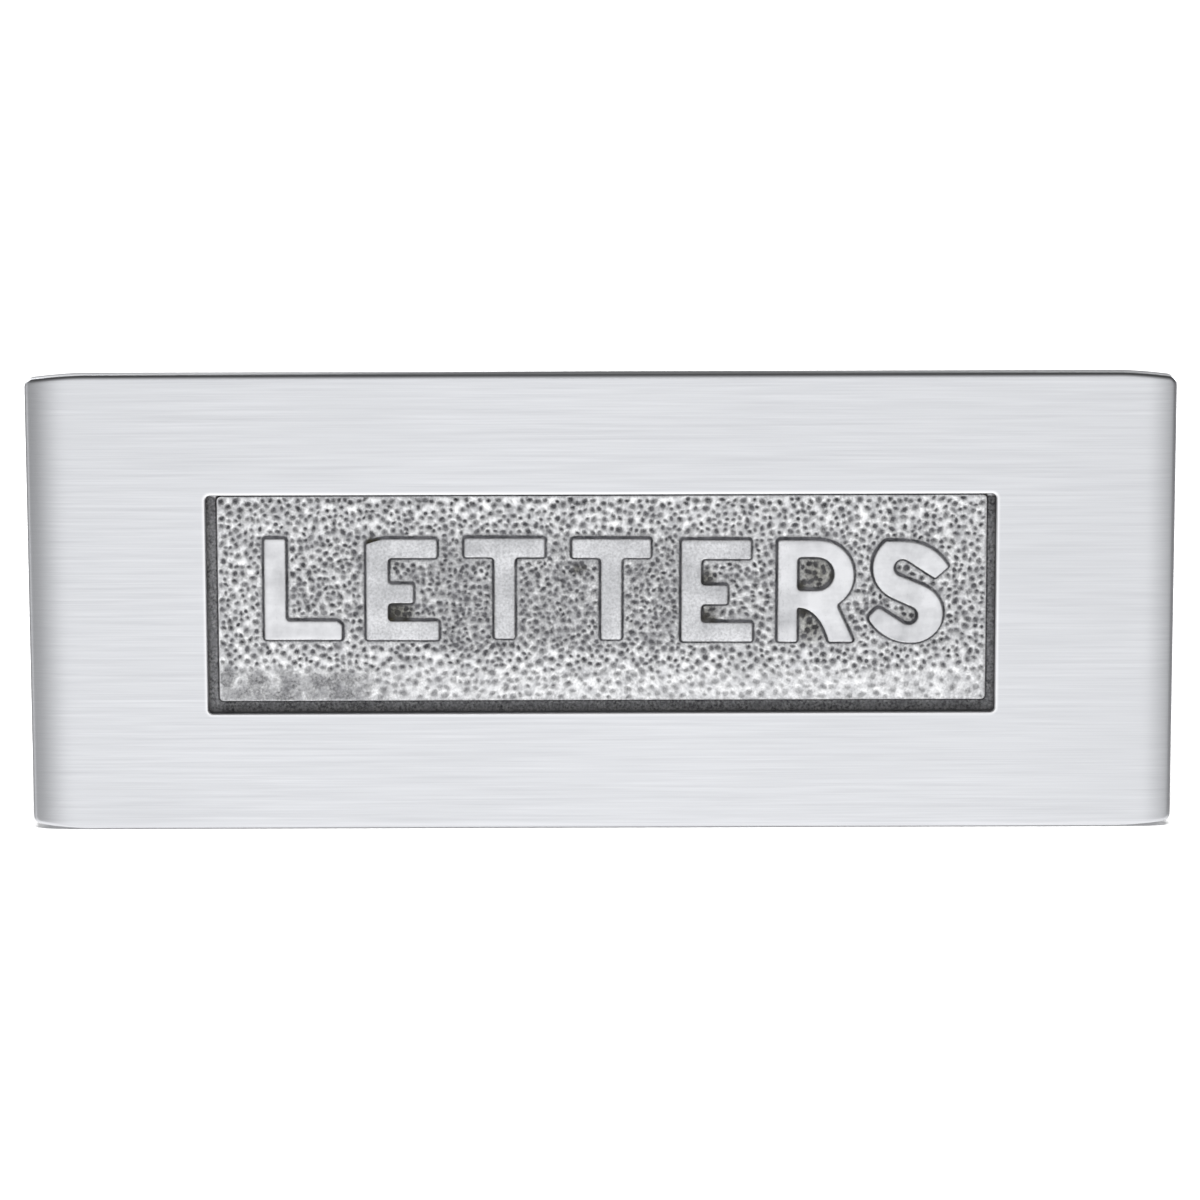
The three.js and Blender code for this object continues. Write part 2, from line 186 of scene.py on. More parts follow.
# ---- Sizes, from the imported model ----

PLATE_LOW, PLATE_HIGH = box_mm("front_plate")
FLAP_LOW, FLAP_HIGH = box_mm("flap")
PIN_END = box_mm("hinge_pin")[1][0]
HINGE = frame["joints"][0]["pos_m"]
HINGE_Y = HINGE[1] / MM
HINGE_Z = HINGE[2] / MM

# Front plate
HALF_WIDTH = PLATE_HIGH[0]
HALF_HEIGHT = PLATE_HIGH[2]
PLATE_FRONT = PLATE_LOW[1]
SKIN_BACK = PLATE_FRONT + 3
RIM = 3.5
PLATE_CORNER = 2
PLATE_EDGE = 1
CORNER_DROP = 0.8  # how far polishing has taken down the outline at each corner
CORNER_RUN = 13
LEFT_ROLL = (9.5, 1.5)  # how far in the face starts to fall away at the left end, and by how much
RIGHT_ROLL = (6.6, 1.0)
ROLL_POWER = 2.3
FACE_WAVE = 0.02  # unevenness of the hand-polished face
CAST_GRAIN = 0.05  # unevenness of the plate's cast back
FLAP_GRAIN = 0.04  # and of the flap's
SMALL_EDGE = 0.3

# Aperture
APERTURE_HALF_WIDTH = 87.35
APERTURE_HALF_HEIGHT = 24.425
APERTURE_Z = -0.35
APERTURE_CORNER = 1
APERTURE_EDGE = 0.4

# Hinge
PIN_RADIUS = 1.75
PIN_BORE = 1.95
LUG_X = (92, 96)
LUG_RADIUS = 3.8
LUG_FOOT_Z = (21.5, 33.5)
EAR_X = (68, 74)
EAR_RADIUS = 3.5
EAR_FOOT_Z = (18, 27.8)
LET_IN = 0.5  # how far a boss or lug is let into the casting that it stands on
FILLET = 1.1  # the hollow round the foot of a boss or lug

# Flap
FLANGE_HALF_WIDTH = FLAP_HIGH[0]
FLANGE_Z = (FLAP_LOW[2], 27.8)
FLANGE_FRONT = SKIN_BACK + 0.3
FLANGE_BACK = FLANGE_FRONT + 1.7
FLANGE_CORNER = 2
FLANGE_EDGE = 0.4
FLANGE_MIDDLE = 26.5  # where the loops of the flap's back end, in from its edge
PANEL_HALF_WIDTH = 85.25
PANEL_X = 0.2
PANEL_Z = (-22.3, 23.74)
PANEL_CORNER = 1
PANEL_FRONT = -5.2
LETTER_FRONT = FLAP_LOW[1]

# Springs
WIRE_RADIUS = 0.6
COIL_RADIUS = 3
COIL_X = (89.6, 76.4)
COIL_TURNS = 10
LEG_LENGTH = 12.5
LEG_GAP = 0.3

# Fixings
FIXING_X = 108
BOSS_RADIUS = 6
BOSS_END = 4
STUD_RADIUS = 3
STUD_PITCH = 1
THREAD_DEPTH = 0.6
STUD_CHAMFER = 0.8
WASHER_LOW, WASHER_HIGH = box_mm("left_washer")
WASHER_RADIUS = (WASHER_HIGH[0] - WASHER_LOW[0]) / 2
NUT_HALF_FLATS = 5
NUT_HALF_CORNERS = 5.7
NUT_CONE = 4.75  # radius at which the nut's end faces turn down to the corners
NUT_CONE_SLOPE = tan(radians(30))
NUT_THREAD = 0.4  # depth of its thread


# ---- Mesh building ----


def loft(levels, closed=False, capped=False):
    """Quads between loops that have the same number of points. Returns the points and the faces."""
    count = len(levels[0])
    points = [tuple(point) for level in levels for point in level]
    faces = []
    for k in range(len(levels) if closed else len(levels) - 1):
        near = k * count
        far = (k + 1) % len(levels) * count
        for i in range(count):
            j = (i + 1) % count
            faces.append((near + i, near + j, far + j, far + i))
    if capped:
        for start in (0, (len(levels) - 1) * count):
            centre = len(points)
            points.append(tuple(np.mean(points[start : start + count], axis=0)))
            faces += [(centre, start + i, start + (i + 1) % count) for i in range(count)]
    return points, faces


def placed(name, data):
    """A new object in the scene."""
    obj = bpy.data.objects.new(name, data)
    bpy.context.scene.collection.objects.link(obj)
    return obj


@contextmanager
def editing(*meshes):
    """A working copy of one or more meshes together, which is written back to the first."""
    work = bmesh.new()
    for mesh in meshes:
        work.from_mesh(mesh)
    yield work
    work.to_mesh(meshes[0])
    work.free()


def make(name, points, faces):
    """A mesh object from points in millimetres, with its faces turned outwards."""
    mesh = bpy.data.meshes.new(name)
    mesh.from_pydata((np.array(points, float) * MM).tolist(), [], faces)
    with editing(mesh) as work:
        bmesh.ops.recalc_face_normals(work, faces=work.faces[:])
    return placed(name, mesh)


def joined(base, others):
    """Fuses closed meshes into base, as one casting."""
    for other in others:
        union = base.modifiers.new("union", "BOOLEAN")
        union.operation = "UNION"
        union.solver = "EXACT"
        union.object = other
    mesh = bpy.data.meshes.new_from_object(base.evaluated_get(bpy.context.evaluated_depsgraph_get()))
    base.modifiers.clear()
    base.data = mesh
    for other in others:
        bpy.data.objects.remove(other)
    return base


def finish_piece(obj, material, node, body, slot, sharp=35):
    """Shades a piece, gives it its material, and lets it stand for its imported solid."""
    obj.data.materials.clear()
    obj.data.materials.append(material)
    obj.data.shade_smooth()
    obj.data.set_sharp_from_angle(angle=radians(sharp))
    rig.replaces(obj, node)
    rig.slot(obj, slot)
    if body:
        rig.ride(obj, body)
    return obj


def lofted(node, shape, material, slot, levels, sharp=35, **how):
    """A piece lofted from loops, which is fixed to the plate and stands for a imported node."""
    obj = make(f"{node}_{shape}", *loft(levels, **how))
    return finish_piece(obj, material, node, "plate_body", slot, sharp)


def set_attribute(obj, name, values):
    attribute = obj.data.attributes.new(name, "FLOAT", "POINT")
    attribute.data.foreach_set("value", np.array(values, np.float32))


def points_mm(obj):
    flat = np.zeros(len(obj.data.vertices) * 3, np.float32)
    obj.data.vertices.foreach_get("co", flat)
    return flat.reshape(-1, 3).astype(float) / MM


def smooth(value, start, end):
    t = np.clip((np.asarray(value, float) - start) / (end - start), 0, 1)
    return t * t * (3 - 2 * t)


def unit(vectors):
    return vectors / np.linalg.norm(vectors, axis=1)[:, None]


def ripple(x, z, size, seed=0.0):
    """A smooth random height between about -1 and 1, with features of the given size."""
    return noise.noise(Vector((x / size, z / size, seed)))


# ---- Rounded rectangles with matching points ----

TOP_STEPS = 34
RUN_STEPS = 12
CORNER_STEPS = 7
SIDE_STEPS = 22


def rounded_loop(half_width, half_height, corner, centre_x=0.0, centre_z=0.0):
    """Clockwise from the middle of the top. Every loop has the same number of points."""
    turn = half_width - corner
    run = half_width - CORNER_RUN
    along_top = np.concatenate([
        np.linspace(0, run, TOP_STEPS + 1)[:-1],
        np.linspace(run, turn, RUN_STEPS + 1)[:-1],
    ])
    angles = np.linspace(pi / 2, 0, CORNER_STEPS + 1)
    down_side = np.linspace(half_height - corner, 0, SIDE_STEPS + 1)[1:]
    quarter = np.concatenate([
        np.column_stack([along_top, np.full(len(along_top), half_height)]),
        np.column_stack([turn + corner * np.cos(angles), half_height - corner + corner * np.sin(angles)]),
        np.column_stack([np.full(len(down_side), half_width), down_side]),
    ])
    half = np.concatenate([quarter, quarter[-2::-1] * (1, -1)])
    whole = np.concatenate([half, half[-2:0:-1] * (-1, 1)])
    return whole + (centre_x, centre_z)


def at_depth(loop, y):
    """Lifts a loop in X and Z to a height in Y, a number or one for each point."""
    return np.column_stack([loop[:, 0], np.broadcast_to(y, len(loop)), loop[:, 1]])


def quarter_turn(radius, steps):
    """Pairs (in, along) round a quarter circle: from (0, 0) to (radius, radius)."""
    for angle in np.linspace(0, pi / 2, steps + 1):
        yield radius * (1 - cos(angle)), radius * sin(angle)


# ---- Front plate ----


def roll(x):
    """How far the polished face falls back towards its left and right ends."""
    depth = np.zeros_like(x)
    for side, (length, fall) in ((-1, LEFT_ROLL), (1, RIGHT_ROLL)):
        near = np.clip((side * x - HALF_WIDTH + length) / length, 0, 1)
        depth += fall * near**ROLL_POWER
    return depth


def polished(level):
    """Takes down the corners of the outline and rolls the face over at both ends."""
    x, y, z = level.T
    past_run = np.clip((abs(x) - HALF_WIDTH + CORNER_RUN) / (CORNER_RUN - PLATE_CORNER), 0, 1)
    drop = CORNER_DROP * past_run**1.7 * (abs(z) / HALF_HEIGHT) ** 4
    wave = [FACE_WAVE * ripple(a, b, 37) for a, b in zip(x, z)]
    from_front = np.clip((SKIN_BACK + 2 - y) / (SKIN_BACK + 2 - PLATE_FRONT - PLATE_EDGE), 0, 1)
    inside_ends = np.clip(HALF_WIDTH - abs(x), 0, 1)
    fall = roll(x) + np.array(wave) * inside_ends + FACE_WAVE
    return np.column_stack([x, y + from_front * fall, z - np.sign(z) * drop])


def plate_loop(inset):
    corner = max(PLATE_CORNER - inset, SMALL_EDGE)
    return rounded_loop(HALF_WIDTH - inset, HALF_HEIGHT - inset, corner)


def aperture_loop(grow):
    width = APERTURE_HALF_WIDTH + grow
    return rounded_loop(width, APERTURE_HALF_HEIGHT + grow, APERTURE_CORNER + grow, 0, APERTURE_Z)


def pocket_loop(inset):
    corner = max(PLATE_CORNER - inset, SMALL_EDGE)
    return rounded_loop(HALF_WIDTH - RIM - inset, HALF_HEIGHT - RIM - inset, corner)


def between(first, second, steps):
    """Loops evenly spaced between two others, without the two themselves."""
    return [first + (second - first) * k / steps for k in range(1, steps)]


def cast_back(loop, y, uneven=CAST_GRAIN):
    height = [y + uneven * ripple(x, z, 5, 3) + uneven * ripple(x, z, 1.9, 7) for x, z in loop]
    return at_depth(loop, np.array(height))


def plate_shell():
    """The plate as one closed skin: edge, face, aperture wall, hollow back and rim."""
    levels = []
    for inset, rise in quarter_turn(SMALL_EDGE, 3):
        levels.append(at_depth(plate_loop(SMALL_EDGE - rise), -inset))
    levels += [at_depth(plate_loop(0), y) for y in np.linspace(-1, PLATE_FRONT + PLATE_EDGE, 5)]
    for inset, rise in list(quarter_turn(PLATE_EDGE, 7))[1:]:
        levels.append(at_depth(plate_loop(inset), PLATE_FRONT + PLATE_EDGE - rise))
    insets = (1.5, 2.1, 2.8, 3.6, 4.5, 5.5, 6.6, 7.8, 9.2, 11)
    levels += [at_depth(plate_loop(inset), PLATE_FRONT) for inset in insets]
    inner = aperture_loop(1.6)
    levels += [at_depth(loop, PLATE_FRONT) for loop in between(plate_loop(insets[-1]), inner, 9)]
    levels += [at_depth(aperture_loop(grow), PLATE_FRONT) for grow in (1.6, 1.0, 0.7)]
    for inset, rise in quarter_turn(APERTURE_EDGE, 5):
        levels.append(at_depth(aperture_loop(APERTURE_EDGE - rise), PLATE_FRONT + inset))
    levels = [polished(level) for level in levels]
    low = SKIN_BACK - SMALL_EDGE
    levels += [at_depth(aperture_loop(0), y) for y in np.linspace(PLATE_FRONT + 1, low, 4)]
    for inset, rise in list(quarter_turn(SMALL_EDGE, 3))[1:]:
        levels.append(at_depth(aperture_loop(inset), low + rise))
    start = aperture_loop(2 * SMALL_EDGE)
    foot = pocket_loop(FILLET)
    levels += [cast_back(loop, SKIN_BACK) for loop in [start, *between(start, foot, 18)]]
    for inset, rise in quarter_turn(FILLET, 5):
        levels.append(at_depth(pocket_loop(FILLET - rise), SKIN_BACK + inset))
    levels += [at_depth(pocket_loop(0), y) for y in (-1.9, -1, -SMALL_EDGE)]
    for inset, rise in list(quarter_turn(SMALL_EDGE, 3))[1:]:
        levels.append(at_depth(pocket_loop(-inset), rise - SMALL_EDGE))
    return make("front_plate_shell", *loft(levels, closed=True))


def circle(radius, y, count=40, centre=(0.0, 0.0)):
    """A loop round an axis along Y. The radius is a number or one for each point."""
    angles = np.linspace(0, 2 * pi, count, endpoint=False)
    x = centre[0] + radius * np.cos(angles)
    z = centre[1] + radius * np.sin(angles)
    return np.column_stack([x, np.broadcast_to(y, count), z])


def boss(x):
    """A round boss with a hollow at its foot and a blind tapped hole for the stud."""
    profile = [(0.02, SKIN_BACK - LET_IN), (BOSS_RADIUS + 2 * FILLET, SKIN_BACK - LET_IN)]
    profile.append((BOSS_RADIUS + FILLET, SKIN_BACK - 0.02))
    for inset, rise in list(quarter_turn(FILLET, 6))[::-1]:
        profile.append((BOSS_RADIUS + inset, SKIN_BACK + FILLET - rise))
    profile.sort(key=lambda point: point[1])
    profile += [(BOSS_RADIUS - 0.1, 0), (BOSS_RADIUS - 0.2, BOSS_END - 0.5)]
    profile += [(BOSS_RADIUS - 0.35, BOSS_END - 0.15), (BOSS_RADIUS - 0.7, BOSS_END)]
    profile += [(STUD_RADIUS + 0.8, BOSS_END), (STUD_RADIUS + 0.3, BOSS_END - 0.5)]
    profile += [(STUD_RADIUS + 0.3, -2.9), (0.02, -3)]
    return make("boss", *loft([circle(r, y, 48, (x, 0)) for r, y in profile], capped=True))


def eye_outline(radius, foot_y, foot_z, inset=0.0):
    """A lug's side view in Y and Z: a wide foot drawn in along two tangents to an eye round the pin."""
    def touch(z, turn):
        y = foot_y - HINGE_Y
        return atan2(z - HINGE_Z, y) + turn * acos(radius / hypot(y, z - HINGE_Z))
    start = touch(foot_z[0], 1)
    end = touch(foot_z[1], -1)
    end += 2 * pi if end < start else 0
    angles = np.linspace(start, end, 33)
    eye = [(HINGE_Y + radius * cos(a), HINGE_Z + radius * sin(a)) for a in angles]
    lower = np.linspace((foot_y, foot_z[0]), eye[0], 10)[:-1]
    upper = np.linspace(eye[-1], (foot_y, foot_z[1]), 10)[1:]
    foot = [(foot_y, z) for z in np.linspace(foot_z[1], foot_z[0], 8)[1:-1]]
    outline = np.array([*lower, *eye, *upper, *foot])
    return outline - inset * unit(outline - (HINGE_Y, HINGE_Z))


def lug(name, x_range, radius, face_y, foot_z):
    """A cast lug with rounded edges, a bored eye and a hollow all round its foot."""
    foot_y = face_y - LET_IN
    edge = 0.45
    rim = 0.15
    centre = np.array((HINGE_Y, HINGE_Z))
    full = eye_outline(radius, foot_y, foot_z)
    around = unit(full - centre)
    middle = sum(x_range) / 2

    def level(outline, x):
        near_foot = np.clip((face_y + FILLET - outline[:, 0]) / FILLET, 0, 1)
        spread = FILLET * (1 - np.sqrt(1 - near_foot**2))
        x_out = x + copysign(1, x - middle) * spread
        z_out = outline[:, 1] + np.sign(outline[:, 1] - np.mean(foot_z)) * spread * (near_foot > 0)
        return np.column_stack([x_out, outline[:, 0], z_out])

    low, high = x_range
    levels = [level(centre + around * (PIN_BORE + rim), low)]
    for inset, rise in list(quarter_turn(edge, 3))[::-1]:
        levels.append(level(eye_outline(radius, foot_y, foot_z, inset), low + edge - rise))
    levels += [level(full, x) for x in np.linspace(low, high, 6)[1:-1]]
    for inset, rise in quarter_turn(edge, 3):
        levels.append(level(eye_outline(radius, foot_y, foot_z, inset), high - edge + rise))
    levels.append(level(centre + around * (PIN_BORE + rim), high))
    levels += [level(centre + around * PIN_BORE, high - rim), level(centre + around * PIN_BORE, low + rim)]
    return make(name, *loft(levels, closed=True))


def on_both_sides(name, x_range, *shape):
    """The same lug on the right and on the left."""
    mirrored = (-x_range[1], -x_range[0])
    return [lug(f"{name}_right", x_range, *shape), lug(f"{name}_left", mirrored, *shape)]


def front_plate(material):
    lugs = on_both_sides("lug", LUG_X, LUG_RADIUS, SKIN_BACK, LUG_FOOT_Z)
    plate = joined(plate_shell(), [boss(-FIXING_X), boss(FIXING_X), *lugs])
    plate.name = "front_plate_casting"
    x, y, z = points_mm(plate).T
    in_pocket = (abs(x) < HALF_WIDTH - RIM + 0.02) & (abs(z) < HALF_HEIGHT - RIM + 0.02)
    set_attribute(plate, "cast", smooth(y, SKIN_BACK - 0.6, SKIN_BACK - 0.1) * in_pocket)
    past_x = abs(x) - APERTURE_HALF_WIDTH + APERTURE_CORNER
    past_z = abs(z - APERTURE_Z) - APERTURE_HALF_HEIGHT + APERTURE_CORNER
    past_corner = np.hypot(np.maximum(past_x, 0), np.maximum(past_z, 0))
    from_edge = past_corner + np.minimum(np.maximum(past_x, past_z), 0) - APERTURE_CORNER
    # Painted highlight: a band along the aperture's front edge is given a brighter colour.
    rubbed = smooth(from_edge, 0.95, 0.3) * smooth(y, PLATE_FRONT + 0.45, PLATE_FRONT + 0.1)
    set_attribute(plate, "rubbed", rubbed)
    # Painted shade with some grime: the aperture's walls are given a darker colour.
    set_attribute(plate, "grime", smooth(y, PLATE_FRONT + 0.15, PLATE_FRONT + 1) * (from_edge < 0.2))
    return finish_piece(plate, material, "front_plate", "plate_body", "satin_chrome", 40)


# ---- Raised word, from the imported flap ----


def letter_loops():
    """The outlines of the letters' flat tops, in order from the left, each a list of X, Z points."""
    mesh = frame["nodes"]["flap"].data
    mesh.calc_loop_triangles()
    keys = [tuple(np.round(np.array(vertex.co) / MM, 3)) for vertex in mesh.vertices]
    edges = set()
    for triangle in mesh.loop_triangles:
        corners = [keys[i] for i in triangle.vertices]
        if all(corner[1] < LETTER_FRONT + 0.01 for corner in corners):
            for a, b in zip(corners, corners[1:] + corners[:1]):
                if (b, a) in edges:
                    edges.remove((b, a))
                else:
                    edges.add((a, b))
    following = dict(edges)
    loops = []
    while following:
        start, point = next(iter(sorted(following.items())))
        loop = [start]
        del following[start]
        while point != start:
            loop.append(point)
            point = following.pop(point)
        loops.append(without_straight_points(np.array([(p[0], p[2]) for p in loop])))
    return sorted(loops, key=lambda loop: loop[:, 0].min())


def without_straight_points(loop):
    before = loop - np.roll(loop, 1, axis=0)
    after = np.roll(loop, -1, axis=0) - loop
    turn = before[:, 0] * after[:, 1] - before[:, 1] * after[:, 0]
    return loop[abs(turn) > 1e-3 * np.linalg.norm(before, axis=1) * np.linalg.norm(after, axis=1)]


SOFT_CORNER = 0.65  # rounding of the letters' corners
HOLLOW_CORNER = 0.95  # the same where the outline turns inwards
TAIL_CORNER = 1.3  # the same at the tail of the last letter
TAIL_X = 62
LONGEST = 0.75  # longest step along a letter's outline
CURVED = radians(32)  # a smaller turn than this is part of a curve
CLOSEST = 0.05
E_FLAW = (3.3, -1.1)  # the corner that the casting lacks, across and down
L_FLAW = (-1.1, -0.9)
L_FOOT = 4.3  # height of the L's foot


def rounded(loop, tail=None):
    """Rounds an outline's corners, more so left of x = tail, and turns its chains of chords into curves."""
    made = []
    count = len(loop)
    for i in range(count):
        point = loop[i]
        back = loop[i - 1] - point
        on = loop[(i + 1) % count] - point
        shortest = min(np.linalg.norm(back), np.linalg.norm(on))
        back_unit = back / np.linalg.norm(back)
        on_unit = on / np.linalg.norm(on)
        turn = pi - acos(np.clip(back_unit @ on_unit, -1, 1))
        radius = HOLLOW_CORNER if back[1] * on[0] < back[0] * on[1] else SOFT_CORNER
        if tail is not None and point[0] < tail:
            radius = TAIL_CORNER
        reach = shortest / 2 if turn < CURVED else min(radius * tan(turn / 2), shortest * 0.45)
        start = point + back_unit * reach
        end = point + on_unit * reach
        for t in np.linspace(0, 1, 5):
            made.append(start * (1 - t) ** 2 + point * 2 * t * (1 - t) + end * t * t)
    kept = [made[0]]
    for point in made[1:]:
        if np.linalg.norm(point - kept[-1]) > CLOSEST:
            kept.append(point)
    if np.linalg.norm(kept[0] - kept[-1]) < CLOSEST:
        kept.pop()
    return np.array(stepped(np.array(kept), LONGEST))


def stepped(loop, longest=0.15):
    """An outline's points with more between them, so that no step is longer than a given length."""
    marks = []
    for a, b in zip(loop, np.roll(loop, -1, axis=0)):
        pieces = max(1, ceil(np.linalg.norm(b - a) / longest))
        marks += [a + (b - a) * k / pieces for k in range(pieces)]
    return marks


def offset(loop, distance):
    """Moves an outline sideways: away from the letter when the distance is positive."""
    before = loop - np.roll(loop, 1, axis=0)
    after = np.roll(loop, -1, axis=0) - loop
    after = unit(after)
    along = unit(unit(before) + after)
    stretch = 1 / np.maximum(np.sum(along * after, axis=1), 0.5)
    outwards = np.column_stack([along[:, 1], -along[:, 0]])
    return loop + outwards * (distance * stretch)[:, None]


def with_cut_corner(loop, corner, cut_x, cut_z):
    """A casting flaw: the corner nearest to a given one is missing."""
    nearest = int(np.argmin(np.linalg.norm(loop - corner, axis=1)))
    first = loop[nearest] + (0, cut_z)
    second = loop[nearest] + (cut_x, 0)
    comes_from = loop[nearest - 1] - loop[nearest]
    if abs(comes_from[0]) > abs(comes_from[1]):
        first, second = second, first
    return np.concatenate([loop[:nearest], [first, second], loop[nearest + 1 :]])


# ---- Stippled ground ----

PIT_RADIUS = (0.52, 0.88)
PIT_DEPTH = 0.38
PIT_GAP = (-0.2, 0.5)  # room left between two pits, in millimetres
CLOSER_UNRUBBED = 0.75  # how much of that is lost where the ground has never been rubbed
WIDER_UNRUBBED = 0.28
PIT_RIM = 1.35  # where the raised rim round a pit ends, in radii
PIT_RINGS = ((0.4, 6), (0.74, 8), (1.05, 9))  # radius of a ring, in radii, and the points on it
GROUND_STEP = 0.62
PIT_THROWS = 42000
PIT_REACH = 2.2  # how far round a new pit others are looked for
BOWL_REACH = 1.4  # how far round a point the pits that shape it are looked for
MARK_REACH = 1.5  # how far round a new point of the ground the places already taken are looked for
PIT_ROOM = 1.3  # the place that a pit takes, in radii
PIT_CLEAR = 0.8  # how near a pit's middle comes to a letter or an edge, in radii
PIT_MARGIN = 0.15  # how near a pit's points come to them
GROUND_MARGIN = 0.3  # the same for the points between the pits
GROUND_THROWS = 90000
SEED = 41
GROUND_LUMPS = 0.075
GROUND_GRIME = 0.62  # on the ground between the pits, where nothing has rubbed it off


Mark = namedtuple("Mark", "x z size")  # a place that is taken, with the room that it needs round it


class Spots:
    """Things with a place x, z, kept in a grid of small cells so that those near a point are found fast."""

    def __init__(self, cell):
        self.cell = cell
        self.cells = {}

    def near(self, x, z, reach):
        span = ceil(reach / self.cell)
        column, row = int(x // self.cell), int(z // self.cell)
        for i in range(column - span, column + span + 1):
            for j in range(row - span, row + span + 1):
                yield from self.cells.get((i, j), ())

    def add(self, spot):
        self.cells.setdefault((int(spot.x // self.cell), int(spot.z // self.cell)), []).append(spot)

    def __iter__(self):
        for spots in self.cells.values():
            yield from spots


def crowding(x, z):
    """How close the pits stand: 1 between the letters, less on the worn strip along the bottom."""
    low = smooth(z, -18.5, -12.5)
    corner = smooth(x, -52, -66) * smooth(z, -13.5, -17)
    right = smooth(x, 30, 60) * smooth(z, -14, -18)
    worn = (0.33 + 0.67 * low) * (1 - 0.6 * corner) * (1 - 0.4 * right)
    patchy = 1 + 0.22 * ripple(x, z, 11, 2)
    return float(np.clip(worn * patchy, 0.06, 1.25))


def scatter_pits(ranges, clearance, dice):
    """Pits thrown at random, clear of the letters and of the panel's edge. A few run into each other."""
    (left, right), (low, high) = ranges
    pits = Spots(PIT_REACH)
    for _ in range(PIT_THROWS):
        x = dice.uniform(left, right)
        z = dice.uniform(low, high)
        size = dice.uniform(*PIT_RADIUS) * (1 + WIDER_UNRUBBED * (1 - wear(x, z)))
        crowd = crowding(x, z)
        if dice.random() > crowd or clearance(x, z) < size * PIT_CLEAR:
            continue
        gap = 0.5 * (1 - min(crowd, 1)) + dice.uniform(*PIT_GAP) + CLOSER_UNRUBBED * (wear(x, z) - 1)
        near = pits.near(x, z, PIT_REACH)
        if any(hypot(x - pit.x, z - pit.z) < size + pit.size + gap for pit in near):
            continue
        pits.add(Pit(x, z, size, dice))
    return pits


class Pit:
    """One dimple of the stipple: an uneven oval bowl, black with grime at the bottom."""

    def __init__(self, x, z, size, dice):
        self.x = x
        self.z = z
        self.size = size
        self.turn = dice.uniform(0, pi)
        self.longer = dice.uniform(1.0, 1.35)
        self.wear = wear(x, z)
        sharpness = dice.uniform(0.75, 1.1)
        self.depth = PIT_DEPTH * sharpness * (0.6 + 0.4 * smooth(size, *PIT_RADIUS)) * fading(x, z)
        self.stain = dice.uniform(0.75, 1.0) * fading(x, z)

    def ring(self, radius, count, dice):
        first = dice.uniform(0, 2 * pi)
        for k in range(count):
            angle = first + 2 * pi * k / count
            reach = self.size * radius * dice.uniform(0.93, 1.07)
            a = reach * self.longer * cos(angle)
            b = reach / self.longer * sin(angle)
            x = self.x + a * cos(self.turn) - b * sin(self.turn)
            yield x, self.z + a * sin(self.turn) + b * cos(self.turn)

    def at(self, x, z):
        """Depth and grime at a point."""
        dx = x - self.x
        dz = z - self.z
        along = (dx * cos(self.turn) + dz * sin(self.turn)) / self.longer
        across = (dz * cos(self.turn) - dx * sin(self.turn)) * self.longer
        t = hypot(along, across) / self.size
        return self.depth * max(1 - t * t, 0), self.stain * max(1 - (t / PIT_RIM) ** 1.6, 0)


def wear(x, z):
    """0 where grime has settled, 1 where hands and cloths have rubbed the ground bright."""
    letters = smooth(z, -12.5, -8.5) * smooth(z, 18, 12) * smooth(x, -84, -58) * smooth(x, 86, 74)
    middle = smooth(x, -60, -38) * smooth(x, 36, 14)
    corner = smooth(x, -44, -58) * smooth(z, -13.5, -17)
    patchy = 0.17 * ripple(x, z, 7, 4) + 0.14 * ripple(x, z, 2.6, 5)
    blotches = 0.85 * corner * ripple(x, z, 3.4, 12)
    low = smooth(z, -13.5, -17)
    worn = 1.04 - letters * (0.4 + 0.24 * middle) - 0.6 * corner - 0.3 * low + patchy + blotches
    return float(np.clip(worn, 0, 1))


def fading(x, z):
    """How much of the stipple is left: it is nearly worn away along the bottom."""
    low = smooth(z, -13.5, -17.5)
    corner = smooth(x, -50, -66) * smooth(z, -12.5, -16)
    right = smooth(x, -5, 25)
    return float(1 - (0.28 + 0.1 * right) * low * (1 + 0.6 * ripple(x, z, 6, 11)) - 0.18 * corner)


LETTER_TOPS = LETTER_FRONT + 0.03  # whatever is in front of this is on a letter's top
LETTER_RIM = LETTER_FRONT + 0.05
LETTER_LEVELS = (  # distance out from the letter's edge, depth, and grime with painted shade, darkest in the groove at the letter's foot
    (0.62, PANEL_FRONT + 0.04, 0.6),
    (0.36, PANEL_FRONT - 0.02, 1.05),
    (0.1, PANEL_FRONT - 0.5, 1.05),
    (0.0, LETTER_FRONT + 0.22, 0.9),
    (-0.12, LETTER_RIM, 0.42),
    (-0.34, LETTER_FRONT, 0.0),
)
PANEL_LEVELS = (  # distance out from the panel's edge, depth, and grime with painted shade, darkest in the groove round the panel
    (0.5, FLANGE_FRONT, 0.7),
    (0.2, FLANGE_FRONT - 0.08, 0.78),
    (0.08, FLANGE_FRONT - 0.5, 0.7),
    (0.0, PANEL_FRONT + 0.15, 0.5),
    (-0.06, PANEL_FRONT + 0.04, 0.3),
    (-0.2, PANEL_FRONT, 0.14),
)
EDGE_BAND = 0.6  # how far in from the panel's edge its outlines run
TOP_EDGE_SHADE_SHARE = 0.3  # share of the grime and painted shade kept on the panel's top edge
# share of the grime and painted shade kept on the panel's left edge
LEFT_EDGE_SHADE_SHARE = 0.95
LETTER_FILM = 0.19
TOP_STEP = 0.9  # between the points on the letters' tops
TOP_WAVE = 0.012
EDGE_SHADE = (  # painted shade towards the panel's edges: which coordinate, where it starts, where it is full, and how much: X is 0, Z is 1
    (0, -82.8, -85.0, 0.2),
    (0, 83.9, 85.4, 0.46),
    (1, -21.0, -22.3, 0.4),
    (1, 22.9, 23.7, 0.38),
)
FLANGE_LEVELS = (  # distance in from the flange's edge, depth, and grime with painted shade where the flange lies in the groove
    (0.0, FLANGE_FRONT + FLANGE_EDGE, 0.7),
    (0.12, FLANGE_FRONT + 0.12, 0.7),
    (FLANGE_EDGE, FLANGE_FRONT, 0.7),
)
